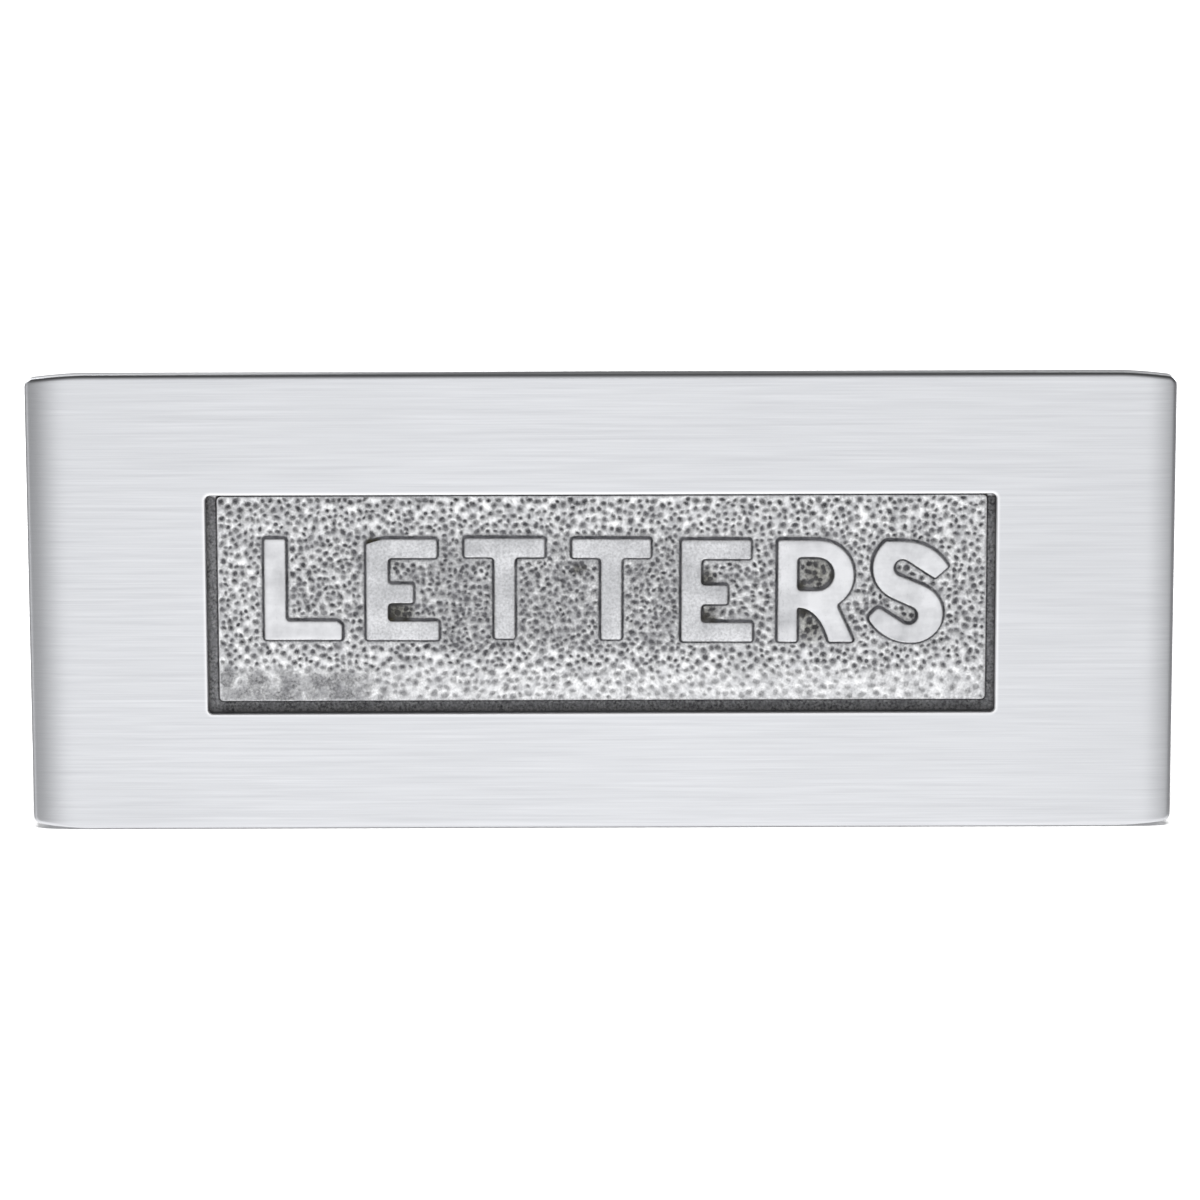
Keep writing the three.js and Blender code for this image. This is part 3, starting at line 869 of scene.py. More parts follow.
SOOT = (  # x, z, reach and amount: the hollows of the letters that nobody's cloth gets into
    (-51.0, 13.2, 1.3, 1.0),
    (-49.7, 13.6, 0.9, 1.0),
    (-45.4, -2.3, 4.4, 0.42),
    (-46.6, -3.8, 1.8, 0.62),
    (-43.4, -4.4, 1.8, 0.5),
    (-46.0, 8.6, 2.6, 0.1),
    (23.0, -3.6, 2.0, 0.52),
    (24.6, -4.4, 1.5, 0.5),
    (23.4, -2.6, 3.6, 0.2),
    (23.4, 5.0, 2.6, 0.36),
    (48.0, 6.2, 6.0, 0.31),
    (44.4, 3.4, 1.6, 0.5),
    (51.4, 5.4, 2.2, 0.4),
    (44.8, -2.4, 2.4, 0.5),
    (46.4, -5.8, 4.4, 0.26),
    (-5.4, 7.2, 1.2, 0.4),
    (-3.8, 7.6, 0.9, 0.4),
    (66.2, 6.6, 2.2, 0.06),
    (67.6, -3.4, 2.6, 0.12),
)


def soot(x, z):
    return max(amount * max(1 - hypot(x - a, z - b) / reach, 0) ** 0.7 for a, b, reach, amount in SOOT)


def painted_edge_shade(x, y, z):
    """Painted shade that darkens the panel towards its left, right, lower and upper edges, beside the groove round it,
    a little uneven.
    """
    if y > FLANGE_FRONT - 0.6:
        return 0
    uneven = 1 + 0.3 * ripple(x, z, 2.2, 13)
    return uneven * max(most * smooth((x, z)[axis], start, full) for axis, start, full, most in EDGE_SHADE)


def film(x, y):
    """The thin dirt that dulls the tops of the letters in the middle of the word."""
    return LETTER_FILM * smooth(x, -58, -50) * smooth(x, 44, 36) if y < LETTER_TOPS else 0


def flange_loop(inset):
    low, high = FLANGE_Z
    half_height = (high - low) / 2 - inset
    corner = max(FLANGE_CORNER - inset, SMALL_EDGE)
    return rounded_loop(FLANGE_HALF_WIDTH - inset, half_height, corner, 0, (low + high) / 2)


def panel_loop(grow):
    low, high = PANEL_Z
    half_height = (high - low) / 2 + grow
    corner = max(PANEL_CORNER + grow, SMALL_EDGE)
    return rounded_loop(PANEL_HALF_WIDTH + grow, half_height, corner, PANEL_X, (low + high) / 2)


class Relief:
    """Points of the flap's front with their depth and their grime and painted shade, and the lines that the faces must
    follow.
    """

    def __init__(self):
        self.points = []
        self.depth = []
        self.grime = []
        self.lines = []

    def add(self, x, z, depth, grime):
        self.points.append((x, z))
        self.depth.append(depth)
        self.grime.append(grime)

    def add_loop(self, loop, depth, grime):
        """A closed line. The amount of grime and painted shade is a number or one for each point."""
        first = len(self.points)
        for (x, z), amount in zip(loop, np.broadcast_to(grime, len(loop))):
            self.add(x, z, depth, amount)
        count = len(loop)
        self.lines += [(first + i, first + (i + 1) % count) for i in range(count)]

    def mesh(self, name):
        points = [Vector(point) for point in self.points]
        made = delaunay_2d_cdt(points, self.lines, [], 0, 1e-5, True)
        sources = [ids[0] if ids else None for ids in made[3]]
        known = KDTree(len(points))
        for i, point in enumerate(points):
            known.insert((*point, 0), i)
        known.balance()
        depth = []
        grime = []
        for point, source in zip(made[0], sources):
            source = known.find((*point, 0))[1] if source is None else source
            depth.append(self.depth[source])
            grime.append(self.grime[source])
        corners = [(point[0], y, point[1]) for point, y in zip(made[0], depth)]
        # Painted shade towards the panel's edges, and the film of dirt on the letters.
        dirt_and_shade = [max(painted_edge_shade(x, y, z), film(x, y)) for x, y, z in corners]
        grime = [max(amounts) for amounts in zip(grime, dirt_and_shade)]
        obj = make(name, corners, [tuple(face) for face in made[2]])
        set_attribute(obj, "grime", grime)
        set_attribute(obj, "soot", [soot(x, z) if y > LETTER_RIM else 0 for x, y, z in corners])
        set_attribute(obj, "polish", [float(y < LETTER_TOPS) for x, y, z in corners])
        set_attribute(obj, "cast", [0.0] * len(corners))
        return obj


def nearest_distance(loops):
    """A function that gives the distance from a point to the nearest of some outlines."""
    marks = [point for loop in loops for point in loop]
    tree = KDTree(len(marks))
    for i, (x, z) in enumerate(marks):
        tree.insert((x, z, 0), i)
    tree.balance()
    return lambda x, z: tree.find((x, z, 0))[2]


def outline_grime_and_shade(loop, grow, amount):
    """The grime and painted shade along a letter's outline: the shade is painted darkest on its upper and left sides.
    """
    grown = offset(loop, grow)
    away = unit(offset(loop, 1) - loop)
    uneven = np.array([0.16 * ripple(x, z, 1.4, 9) + 0.14 * ripple(x, z, 6, 10) for x, z in grown])
    # Painted shade: darker where the outline faces up and to the left.
    return amount * np.clip(0.84 - 0.08 * away[:, 0] + 0.06 * away[:, 1] + uneven, 0.4, 1)


def flap_front():
    """The flap's street side: flange, panel, stippled ground and raised letters, in one sheet."""
    dice = random.Random(SEED)
    relief = Relief()
    for inset, depth, grime in FLANGE_LEVELS:
        relief.add_loop(flange_loop(inset), depth, grime)
    for grow, depth, grime in PANEL_LEVELS:
        loop = panel_loop(grow)
        # Less painted shade and grime on the panel's top and left edges.
        top = np.where(loop[:, 1] > PANEL_Z[1] - EDGE_BAND, TOP_EDGE_SHADE_SHARE, 1)
        left = np.where(loop[:, 0] < PANEL_X - PANEL_HALF_WIDTH + EDGE_BAND, LEFT_EDGE_SHADE_SHARE, 1)
        relief.add_loop(loop, depth, grime * top * left)

    letters = letter_loops()
    boxes = [(loop.min(axis=0), loop.max(axis=0)) for loop in letters]
    (e_left, _), (_, e_top) = boxes[1]
    letters[1] = with_cut_corner(letters[1], (e_left, e_top), *E_FLAW)
    (_, l_bottom), (l_right, _) = boxes[0]
    letters[0] = with_cut_corner(letters[0], (l_right, l_bottom + L_FOOT), *L_FLAW)
    letters = [*map(rounded, letters[:-1]), rounded(letters[-1], TAIL_X)]
    for grow, depth, grime in LETTER_LEVELS:
        for loop in letters:
            relief.add_loop(offset(loop, grow), depth, outline_grime_and_shade(loop, grow, grime))

    base = [offset(loop, LETTER_LEVELS[0][0]) for loop in letters]
    tops = [offset(loop, LETTER_LEVELS[-1][0]) for loop in letters]
    edge = panel_loop(PANEL_LEVELS[-1][0])
    ground_edge = nearest_distance([stepped(loop) for loop in [*base, edge]])
    left, low = edge.min(axis=0)
    right, high = edge.max(axis=0)
    ranges = ((left, right), (low, high))

    on_letter = Lookup(ranges, base)

    def clearance(x, z):
        is_outside = x <= left or x >= right or z <= low or z >= high
        return -1 if is_outside or on_letter(x, z) else ground_edge(x, z)

    pits = scatter_pits(ranges, clearance, dice)
    occupied = Spots(1.0)
    for pit in pits:
        add_pit(relief, pit, pits, dice, lambda x, z: clearance(x, z) < PIT_MARGIN)
        occupied.add(Mark(pit.x, pit.z, pit.size * PIT_ROOM))
    add_ground(relief, ranges, on_letter, ground_edge, occupied, dice)
    add_letter_tops(relief, ranges, tops, dice)
    return relief.mesh("flap_front")


def add_pit(relief, pit, pits, dice, is_off_ground):
    """The points of a pit. Where two pits run into each other, the deeper one counts."""
    places = [(pit.x, pit.z)]
    for radius, count in PIT_RINGS:
        places += pit.ring(radius, count, dice)
    for x, z in places:
        if is_off_ground(x, z):
            continue
        shapes = [near.at(x, z) for near in pits.near(x, z, BOWL_REACH)]
        depth = max(shape[0] for shape in shapes)
        grime = max(max(shape[1] for shape in shapes), GROUND_GRIME * (1 - pit.wear))
        relief.add(x, z, PANEL_FRONT + depth, grime)


class Lookup:
    """Answers quickly whether a point is on a letter, from a fine grid worked out once."""

    STEP = 0.1

    def __init__(self, ranges, loops):
        (self.left, right), (self.low, high) = ranges
        columns = int((right - self.left) / self.STEP) + 3
        rows = int((high - self.low) / self.STEP) + 3
        crossings = np.zeros((columns, rows), int)
        for loop in loops:
            for (ax, az), (bx, bz) in zip(loop, np.roll(loop, -1, axis=0)):
                first, last = sorted(((az - self.low) / self.STEP, (bz - self.low) / self.STEP))
                crossed = np.arange(ceil(first), ceil(last))
                z = self.low + crossed * self.STEP
                x = ax + (z - az) * (bx - ax) / (bz - az if bz != az else 1)
                np.add.at(crossings, (np.ceil((x - self.left) / self.STEP).astype(int), crossed), 1)
        # A point is inside where the lines to its left are odd in number.
        self.grid = np.cumsum(crossings, axis=0) % 2 == 1

    def __call__(self, x, z):
        return bool(self.grid[round((x - self.left) / self.STEP), round((z - self.low) / self.STEP)])


def add_ground(relief, ranges, on_letter, ground_edge, occupied, dice):
    """Points between the pits, with the small lumps that make the ground sparkle."""
    (left, right), (low, high) = ranges
    reach = GROUND_STEP / 2
    for _ in range(GROUND_THROWS):
        x = dice.uniform(left, right)
        z = dice.uniform(low, high)
        if on_letter(x, z) or ground_edge(x, z) < GROUND_MARGIN:
            continue
        near = occupied.near(x, z, MARK_REACH)
        if any(hypot(x - spot.x, z - spot.z) < spot.size + reach for spot in near):
            continue
        occupied.add(Mark(x, z, reach))
        lump = GROUND_LUMPS * (dice.uniform(-1, 0.4) + ripple(x, z, 1.7, 6))
        relief.add(x, z, PANEL_FRONT + lump, GROUND_GRIME * (1 - wear(x, z)))


def add_letter_tops(relief, ranges, tops, dice):
    """Points on the letters' faces, which polishing has left very slightly uneven."""
    (left, right), (low, high) = ranges
    on_top = Lookup(ranges, tops)
    top_edge = nearest_distance([stepped(loop) for loop in tops])
    for i in range(int((right - left) / TOP_STEP)):
        for j in range(int((high - low) / TOP_STEP)):
            x = left + TOP_STEP * (i + dice.uniform(0.2, 0.8))
            z = low + TOP_STEP * (j + dice.uniform(0.2, 0.8))
            if on_top(x, z) and top_edge(x, z) > GROUND_MARGIN:
                relief.add(x, z, LETTER_FRONT + TOP_WAVE * (1 + ripple(x, z, 3, 8)), 0.0)


def flap_rear():
    """The flap's edge and back with its two ears. Its front is left open, for the relief."""
    start = at_depth(flange_loop(0), FLANGE_LEVELS[0][1])
    levels = [start]
    for inset, rise in quarter_turn(FLANGE_EDGE, 3):
        levels.append(at_depth(flange_loop(inset), FLANGE_BACK - FLANGE_EDGE + rise))
    inner = flange_loop(FLANGE_MIDDLE)
    levels += [cast_back(loop, FLANGE_BACK, FLAP_GRAIN) for loop in between(flange_loop(1), inner, 14)]
    levels.append(at_depth(inner, FLANGE_BACK))
    slab = make("flap_slab", *loft(levels, capped=True))
    ears = on_both_sides("ear", EAR_X, EAR_RADIUS, FLANGE_BACK, EAR_FOOT_Z)
    rear = joined(slab, ears)
    front = FLANGE_LEVELS[0][1] * MM
    with editing(rear.data) as work:
        caps = [face for face in work.faces if all(abs(v.co.y - front) < 1e-7 for v in face.verts)]
        bmesh.ops.delete(work, geom=caps, context="FACES")
    x, y, z = points_mm(rear).T
    from_edge = np.minimum(FLANGE_HALF_WIDTH - abs(x), np.minimum(z - FLANGE_Z[0], FLANGE_Z[1] - z))
    set_attribute(rear, "grime", smooth(from_edge, 2.6, 0.4))
    for name, value in (("soot", 0.0), ("polish", 0.0), ("cast", 1.0)):
        set_attribute(rear, name, np.full(len(x), value))
    return rear


def flap(material):
    """One casting: the relief sewn to the back along the flange's edge."""
    front = flap_front()
    rear = flap_rear()
    with editing(front.data, rear.data) as work:
        bmesh.ops.remove_doubles(work, verts=work.verts[:], dist=2e-6)
        bmesh.ops.recalc_face_normals(work, faces=work.faces[:])
    bpy.data.objects.remove(rear)
    front.name = "flap_casting"
    return finish_piece(front, material, "flap", "flap_body", "aged_casting", 60)


# ---- Pin, clips and springs ----


def on_hinge(level, x_shift=0.0, side=1):
    """Turns a loop that stands round the Y axis on to the hinge's axis."""
    x, y, z = level.T
    return np.column_stack([side * (y + x_shift), x + HINGE_Y, z + HINGE_Z])


def hinge_pin(material):
    half = PIN_END
    chamfer = 0.4
    profile = [(0.5, -half + 0.02), (PIN_RADIUS - chamfer, -half)]
    profile += [(PIN_RADIUS - 0.06, -half + chamfer - 0.06), (PIN_RADIUS, -half + chamfer + 0.1)]
    profile += [(r, -y) for r, y in reversed(profile)]
    levels = [on_hinge(circle(r, y, 32)) for r, y in profile]
    return lofted("hinge_pin", "bar", material, "bright_steel", levels, capped=True)


def pin_clip(hand, side, material):
    """A push-on washer: a dished ring whose spring tongues grip the pin."""
    low, high = box_mm(f"{hand}_pin_clip")
    start = min(abs(low[0]), abs(high[0]))
    outer = 4.5
    dish = 0.5
    thickness = 0.6
    tongues = 6
    count = 144
    angles = np.linspace(0, 2 * pi, count, endpoint=False)
    phase = (angles * tongues / (2 * pi)) % 1
    slot = smooth(abs(phase - 0.5), 0.17, 0.12)
    inner = 1.82 + 1.15 * slot
    back = []
    front = []
    for share in (0, 0.03, 0.2, 0.4, 0.6, 0.8, 0.97, 1):
        radius = inner + (outer - inner) * share
        rise = dish * (outer - radius) / (outer - 2.05)
        edge = 0.08 if share in (0, 1) else 0
        back.append(circle(radius, start + rise + edge, count))
        front.append(circle(radius, start + rise + thickness - edge, count))
    levels = [on_hinge(level, 0, side) for level in [*back, *reversed(front)]]
    return lofted(f"{hand}_pin_clip", "ring", material, "spring_steel", levels, closed=True)


def lean(face_y):
    """The turn at which a spring's leg rests on the face at y = face_y."""
    return acos((face_y + LEG_GAP + WIRE_RADIUS - HINGE_Y) / hypot(COIL_RADIUS, LEG_LENGTH))


def spring(hand, side, material):
    """A close-wound coil round the pin, with one leg on the plate and one on the flap."""
    leg = atan2(LEG_LENGTH, COIL_RADIUS)
    fixed = leg + lean(SKIN_BACK)
    sweep = 2 * pi * COIL_TURNS + 2 * pi - leg - lean(FLANGE_BACK) - fixed
    coil_steps = 40 * COIL_TURNS
    leg_steps = 16
    stations = [(0, -LEG_LENGTH * (1 - k / leg_steps)) for k in range(leg_steps)]
    stations += [(k / coil_steps, 0) for k in range(coil_steps + 1)]
    stations += [(1, LEG_LENGTH * (k + 1) / leg_steps) for k in range(leg_steps)]
    angles = np.linspace(0, 2 * pi, 12, endpoint=False)
    levels = []
    for i, (turned, spare) in enumerate(stations):
        angle = fixed + sweep * turned
        outward = np.array((0, cos(angle), sin(angle)))
        onward = np.array((0, -sin(angle), cos(angle)))
        sideways = np.array((1, 0, 0))
        x = COIL_X[0] + (COIL_X[1] - COIL_X[0]) * turned
        centre = np.array((x, HINGE_Y, HINGE_Z)) + COIL_RADIUS * outward + spare * onward
        is_end = i in (0, len(stations) - 1)
        radius = WIRE_RADIUS - (0.08 if is_end else 0)
        section = [cos(a) * outward + sin(a) * sideways for a in angles]
        levels.append([(centre + radius * spoke) * (side, 1, 1) for spoke in section])
    wire = make(f"{hand}_spring_wire", *loft(levels, capped=True))
    finish_piece(wire, material, f"{hand}_spring", None, "spring_steel", 50)
    start = (side * COIL_X[0] * MM, HINGE_Y * MM, HINGE_Z * MM)
    end = (side * COIL_X[1] * MM, HINGE_Y * MM, HINGE_Z * MM)
    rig.blend(wire, "plate_body", "flap_body", start=start, end=end)
    return wire


# ---- Fixings ----


def thread(y, count, crest, depth):
    """The radius round a screw thread at a distance y along it."""
    angles = np.linspace(0, 1, count, endpoint=False)
    phase = (y / STUD_PITCH - angles) % 1
    groove = np.clip(1.25 * (1 - abs(2 * phase - 1)) - 0.1, 0, 1)
    return crest - depth * groove


def stud(hand, side, material):
    start, end = ends_mm(f"{hand}_stud")
    count = 28
    levels = []
    for y in np.arange(start, end + 0.01, STUD_PITCH / 8):
        from_end = min(y - start, end - y)
        limit = STUD_RADIUS - STUD_CHAMFER + from_end
        radius = np.minimum(thread(y, count, STUD_RADIUS, THREAD_DEPTH), limit)
        levels.append(circle(radius, y, count, (side * FIXING_X, 0)))
    return lofted(f"{hand}_stud", "screw", material, "zinc_plate", levels, 70, capped=True)


def washer(hand, side, material):
    near, far = ends_mm(f"{hand}_washer")
    bore = STUD_RADIUS + 0.3
    radius = WASHER_RADIUS
    profile = [(bore, near + 0.15), (bore + 0.1, near + 0.03), (bore + 0.3, near)]
    profile += [((bore + radius) / 2, near), (radius - 0.25, near), (radius - 0.06, near + 0.08)]
    profile += [(radius, near + 0.25), (radius, far - 0.6), (radius - 0.12, far - 0.25)]
    profile += [(radius - 0.4, far - 0.05), (radius - 0.8, far), ((bore + radius) / 2, far)]
    profile += [(bore + 0.5, far), (bore + 0.2, far - 0.1), (bore, far - 0.35)]
    levels = [circle(r, y, 72, (side * FIXING_X, 0)) for r, y in profile]
    return lofted(f"{hand}_washer", "ring", material, "zinc_plate", levels, closed=True)


def nut(hand, side, material):
    """A hexagon nut: its corners are turned down by a cone at both ends, and its bore is threaded."""
    near, far = ends_mm(f"{hand}_nut")
    count = 96
    angles = np.linspace(0, 2 * pi, count, endpoint=False)
    sixth = pi / 3
    wrapped = (angles + sixth / 2) % sixth - sixth / 2
    flats = np.minimum(NUT_HALF_FLATS / np.cos(wrapped), NUT_HALF_CORNERS)
    fall = (flats - NUT_CONE) * NUT_CONE_SLOPE
    centre = (side * FIXING_X, 0)

    def ring(radius, y):
        return circle(radius, y, count, centre)

    crest = STUD_RADIUS + 0.08
    on_cone = NUT_CONE + 0.5 * (flats - NUT_CONE)
    end = [(crest + 0.6, 0), (NUT_CONE - 0.5, 0), (NUT_CONE, 0), (on_cone, 0.5 * fall), (flats, fall)]
    levels = [ring(radius, near + rise) for radius, rise in end]
    levels += [ring(flats, near + fall + (far - near - 2 * fall) * t) for t in (0.05, 0.35, 0.65, 0.95)]
    levels += [ring(radius, far - rise) for radius, rise in reversed(end)]
    for y in np.arange(far - 0.4, near + 0.4, -STUD_PITCH / 6):
        levels.append(ring(thread(y, count, crest, -NUT_THREAD), y))
    return lofted(f"{hand}_nut", "hexagon", material, "zinc_plate", levels, 28, closed=True)


# ---- Materials ----


def feed(tree, socket, value):
    """Sets a socket to a value, or links another node's socket to it."""
    if isinstance(value, bpy.types.NodeSocket):
        tree.links.new(value, socket)
    else:
        socket.default_value = value


def add(tree, kind, settings=None, **inputs):
    """Adds a node. An input is a value or another node's socket; its name has _ for each space."""
    made = tree.nodes.new(kind)
    for name, value in (settings or {}).items():
        setattr(made, name, value)
    for name, value in inputs.items():
        feed(tree, made.inputs[name.replace("_", " ")], value)
    return made


def grain(tree, stretch, detail=2.0, rough=0.5):
    """Noise with its own size along each axis: stretch is cells per metre along X, Y and Z."""
    place = add(tree, "ShaderNodeTexCoord").outputs["Object"]
    mapped = add(tree, "ShaderNodeMapping", Vector=place, Scale=stretch).outputs["Vector"]
    made = add(tree, "ShaderNodeTexNoise", Vector=mapped, Scale=1.0, Detail=detail, Roughness=rough)
    return made.outputs["Fac"]


def remap(tree, value, from_range, to_range):
    names = ("From_Min", "From_Max", "To_Min", "To_Max")
    limits = dict(zip(names, (*from_range, *to_range)))
    return add(tree, "ShaderNodeMapRange", Value=value, **limits).outputs["Result"]


def maths(tree, operation, first, second):
    made = add(tree, "ShaderNodeMath", {"operation": operation, "use_clamp": operation == "ADD"})
    feed(tree, made.inputs[0], first)
    feed(tree, made.inputs[1], second)
    return made.outputs["Value"]


def times(tree, first, second):
    return maths(tree, "MULTIPLY", first, second)


def together(tree, first, share, second):
    """Two patterns in one: the first counts for its share, and the second for the rest."""
    return maths(tree, "ADD", times(tree, first, share), times(tree, second, 1 - share))


def mix(tree, factor, first, second):
    """Blends two colours, each a tuple of three numbers or a socket."""
    made = add(tree, "ShaderNodeMix", {"data_type": "RGBA"})
    colour_sockets = [socket for socket in made.inputs if socket.type == "RGBA"]
    for socket, value in zip([made.inputs["Factor"], *colour_sockets], (factor, first, second)):
        feed(tree, socket, (*value, 1) if isinstance(value, tuple) else value)
    return next(socket for socket in made.outputs if socket.type == "RGBA")


def shade(tree, pattern, span, first, second, most=1):
    """Blends two colours by a pattern: all first where it is below the span, the most second above it."""
    return mix(tree, remap(tree, pattern, span, (0, most)), first, second)


def attribute(tree, name):
    return add(tree, "ShaderNodeAttribute", {"attribute_name": name}).outputs["Fac"]


def bump(tree, height, strength, distance, normal=None):
    made = add(tree, "ShaderNodeBump", Height=height, Strength=strength, Distance=distance)
    if normal:
        tree.links.new(normal, made.inputs["Normal"])
    return made.outputs["Normal"]


def surface(name, build, **constants):
    """A Principled material. build(tree) gives its colour, roughness, metalness and normal sockets."""
    material = bpy.data.materials.new(name)
    material.use_nodes = True
    tree = material.node_tree
    tree.nodes.clear()
    shader = add(tree, "ShaderNodeBsdfPrincipled", **constants)
    for socket, value in build(tree).items():
        feed(tree, shader.inputs[socket], value)
    add(tree, "ShaderNodeOutputMaterial", Surface=shader.outputs["BSDF"])
    return material


CHROME = (0.685, 0.695, 0.72)
CHROME_DARK = (0.61, 0.62, 0.645)
# painted highlight colour along the aperture's front edge
CHROME_HIGHLIGHT = (0.86, 0.865, 0.88)
CAST_METAL = (0.40, 0.36, 0.29)
CAST_METAL_LIGHT = (0.48, 0.43, 0.35)
CAST_STAIN = (0.2, 0.17, 0.13)
# colours of grime, also used for painted shade
GRIME_AND_SHADE = (0.045, 0.045, 0.05)
GRIME_AND_SHADE_LIGHT = (0.13, 0.13, 0.14)
SOOT_BLACK = (0.014, 0.012, 0.009)
SOOT_BROWN = (0.06, 0.055, 0.036)
OLIVE_STAIN = (0.40, 0.39, 0.30)
GROUND_BRIGHT = (0.90, 0.905, 0.915)
GROUND_DULL = (0.48, 0.485, 0.50)
LETTER_TOP = (0.68, 0.685, 0.705)
LETTER_TOP_DULL = (0.40, 0.405, 0.42)
STEEL_DARK = (0.5, 0.51, 0.53)
STEEL_LIGHT = (0.64, 0.65, 0.66)
STEEL_STAIN = (0.3, 0.27, 0.24)
SPRING_DARK = (0.22, 0.225, 0.24)
SPRING_LIGHT = (0.36, 0.37, 0.39)
RUST = (0.2, 0.14, 0.1)
ZINC_BLUE = (0.66, 0.69, 0.73)
ZINC_YELLOW = (0.74, 0.71, 0.62)
ZINC_FLAKE = (0.5, 0.51, 0.52)
FLOOR_DARK = (0.86, 0.86, 0.86)
FLOOR_LIGHT = (0.88, 0.88, 0.88)
MIDDLE = (0.35, 0.65)  # the span that most of a noise's values fall in
BROAD = (0.3, 0.7)


def raw_casting(tree):
    """Colour of the castings' unplated backs: dull brass with brown stains."""
    stain = grain(tree, (60, 60, 60), 4, 0.6)
    speck = grain(tree, (900, 900, 900), 3, 0.6)
    brass = shade(tree, speck, MIDDLE, CAST_METAL, CAST_METAL_LIGHT)
    return shade(tree, stain, (0.4, 0.68), brass, CAST_STAIN)


def satin_chrome(tree):
    """Satin chrome brushed along X, with a painted highlight round the aperture and painted shade with grime on its
    walls, rough and stained behind.
    """
    fine = grain(tree, (45, 900, 5200), 3, 0.6)
    broad = grain(tree, (18, 300, 1300), 2, 0.5)
    cloud = grain(tree, (16, 16, 30), 2, 0.5)
    lines = together(tree, fine, 0.6, broad)
    brushed = shade(tree, lines, MIDDLE, CHROME_DARK, CHROME)
    clouded = shade(tree, cloud, (0.3, 0.75), brushed, CHROME_DARK, 0.35)
    # Painted highlight: brighter colour along the aperture's front edge.
    rubbed = mix(tree, attribute(tree, "rubbed"), clouded, CHROME_HIGHLIGHT)
    # Painted shade with some grime darkens the aperture's walls.
    grimy_and_shaded = mix(tree, times(tree, attribute(tree, "grime"), 0.8), rubbed, GRIME_AND_SHADE_LIGHT)
    sand = grain(tree, (900, 900, 900), 4, 0.65)
    cast = attribute(tree, "cast")
    polish = remap(tree, lines, MIDDLE, (0.4, 0.33))
    casting = remap(tree, sand, BROAD, (0.5, 0.72))
    brush_height = times(tree, lines, remap(tree, cast, (0, 1), (1, 0)))
    brushed_normal = bump(tree, brush_height, 0.35, 0.00002)
    by_cast = {"data_type": "FLOAT"}
    about_height = {"direction_type": "RADIAL", "axis": "Z"}
    return {
        "Base Color": mix(tree, cast, grimy_and_shaded, raw_casting(tree)),
        "Roughness": add(tree, "ShaderNodeMix", by_cast, Factor=cast, A=polish, B=casting).outputs["Result"],
        "Normal": bump(tree, times(tree, sand, cast), 0.6, 0.00025, brushed_normal),
        "Tangent": add(tree, "ShaderNodeTangent", about_height).outputs["Tangent"],
    }


def aged_casting(tree):
    """Plated casting: polished letters, a ground rubbed bright, hollows that hold grime and soot, and painted shade
    along the letters' outlines and round the panel's edges.
    """
    speck = grain(tree, (1700, 1700, 1700), 3, 0.6)
    patch = grain(tree, (420, 420, 420), 3, 0.6)
    streak = grain(tree, (60, 900, 260), 3, 0.6)
    cloud = grain(tree, (100, 100, 80), 5, 0.66)
    uneven = times(tree, remap(tree, speck, BROAD, (-1, 1)), 0.16)
    grime = maths(tree, "ADD", attribute(tree, "grime"), uneven)
    soot_here = attribute(tree, "soot")
    cast = attribute(tree, "cast")
    polish = attribute(tree, "polish")
    # The grime value darkens the colour: real grime and soot in the hollows, and painted shade along the letters'
    # outlines and round the panel.
    covered = remap(tree, maths(tree, "ADD", grime, soot_here), (0.1, 0.82), (0, 1))
    clean = shade(tree, patch, MIDDLE, GROUND_BRIGHT, GROUND_DULL, 0.8)
    ground = shade(tree, soot_here, (0, 0.4), clean, OLIVE_STAIN, 0.8)
    top = shade(tree, together(tree, streak, 0.35, cloud), (0.42, 0.7), LETTER_TOP, LETTER_TOP_DULL)
    bright = mix(tree, polish, ground, top)
    grey = shade(tree, patch, MIDDLE, GRIME_AND_SHADE, GRIME_AND_SHADE_LIGHT)
    black = shade(tree, speck, BROAD, SOOT_BLACK, SOOT_BROWN)
    dirt_and_shade = shade(tree, soot_here, (0.1, 0.6), grey, black)
    height = times(tree, together(tree, speck, 0.5, patch), remap(tree, polish, (0, 1), (1, 0.25)))
    raw = shade(tree, grime, (0.1, 1.0), raw_casting(tree), CAST_STAIN, 0.75)
    rough_back = remap(tree, cast, (0, 1), (0, 0.58))
    return {
        "Base Color": mix(tree, cast, mix(tree, covered, bright, dirt_and_shade), raw),
        "Roughness": maths(tree, "MAXIMUM", remap(tree, covered, (0, 1), (0.32, 0.6)), rough_back),
        "Metallic": maths(tree, "MAXIMUM", remap(tree, covered, (0, 1), (1, 0.5)), cast),
        "Normal": bump(tree, height, 0.5, 0.00006),
    }


def turned_steel(tree):
    """Drawn bright steel, with fine marks round the bar."""
    marks = grain(tree, (3500, 60, 60), 2, 0.5)
    spots = grain(tree, (260, 260, 260), 4, 0.6)
    colour = shade(tree, marks, MIDDLE, STEEL_DARK, STEEL_LIGHT)
    return {
        "Base Color": shade(tree, spots, (0.55, 0.75), colour, STEEL_STAIN, 0.5),
        "Roughness": remap(tree, marks, MIDDLE, (0.24, 0.36)),
        "Normal": bump(tree, marks, 0.25, 0.00002),
    }


def spring_steel(tree):
    """Oiled spring steel: dark, with drawing marks and a few brown spots."""
    marks = grain(tree, (700, 700, 700), 3, 0.6)
    spots = grain(tree, (190, 190, 190), 4, 0.6)
    colour = shade(tree, marks, MIDDLE, SPRING_DARK, SPRING_LIGHT)
    return {
        "Base Color": shade(tree, spots, (0.56, 0.74), colour, RUST, 0.6),
        "Roughness": remap(tree, marks, MIDDLE, (0.26, 0.4)),
        "Normal": bump(tree, marks, 0.2, 0.00003),
    }


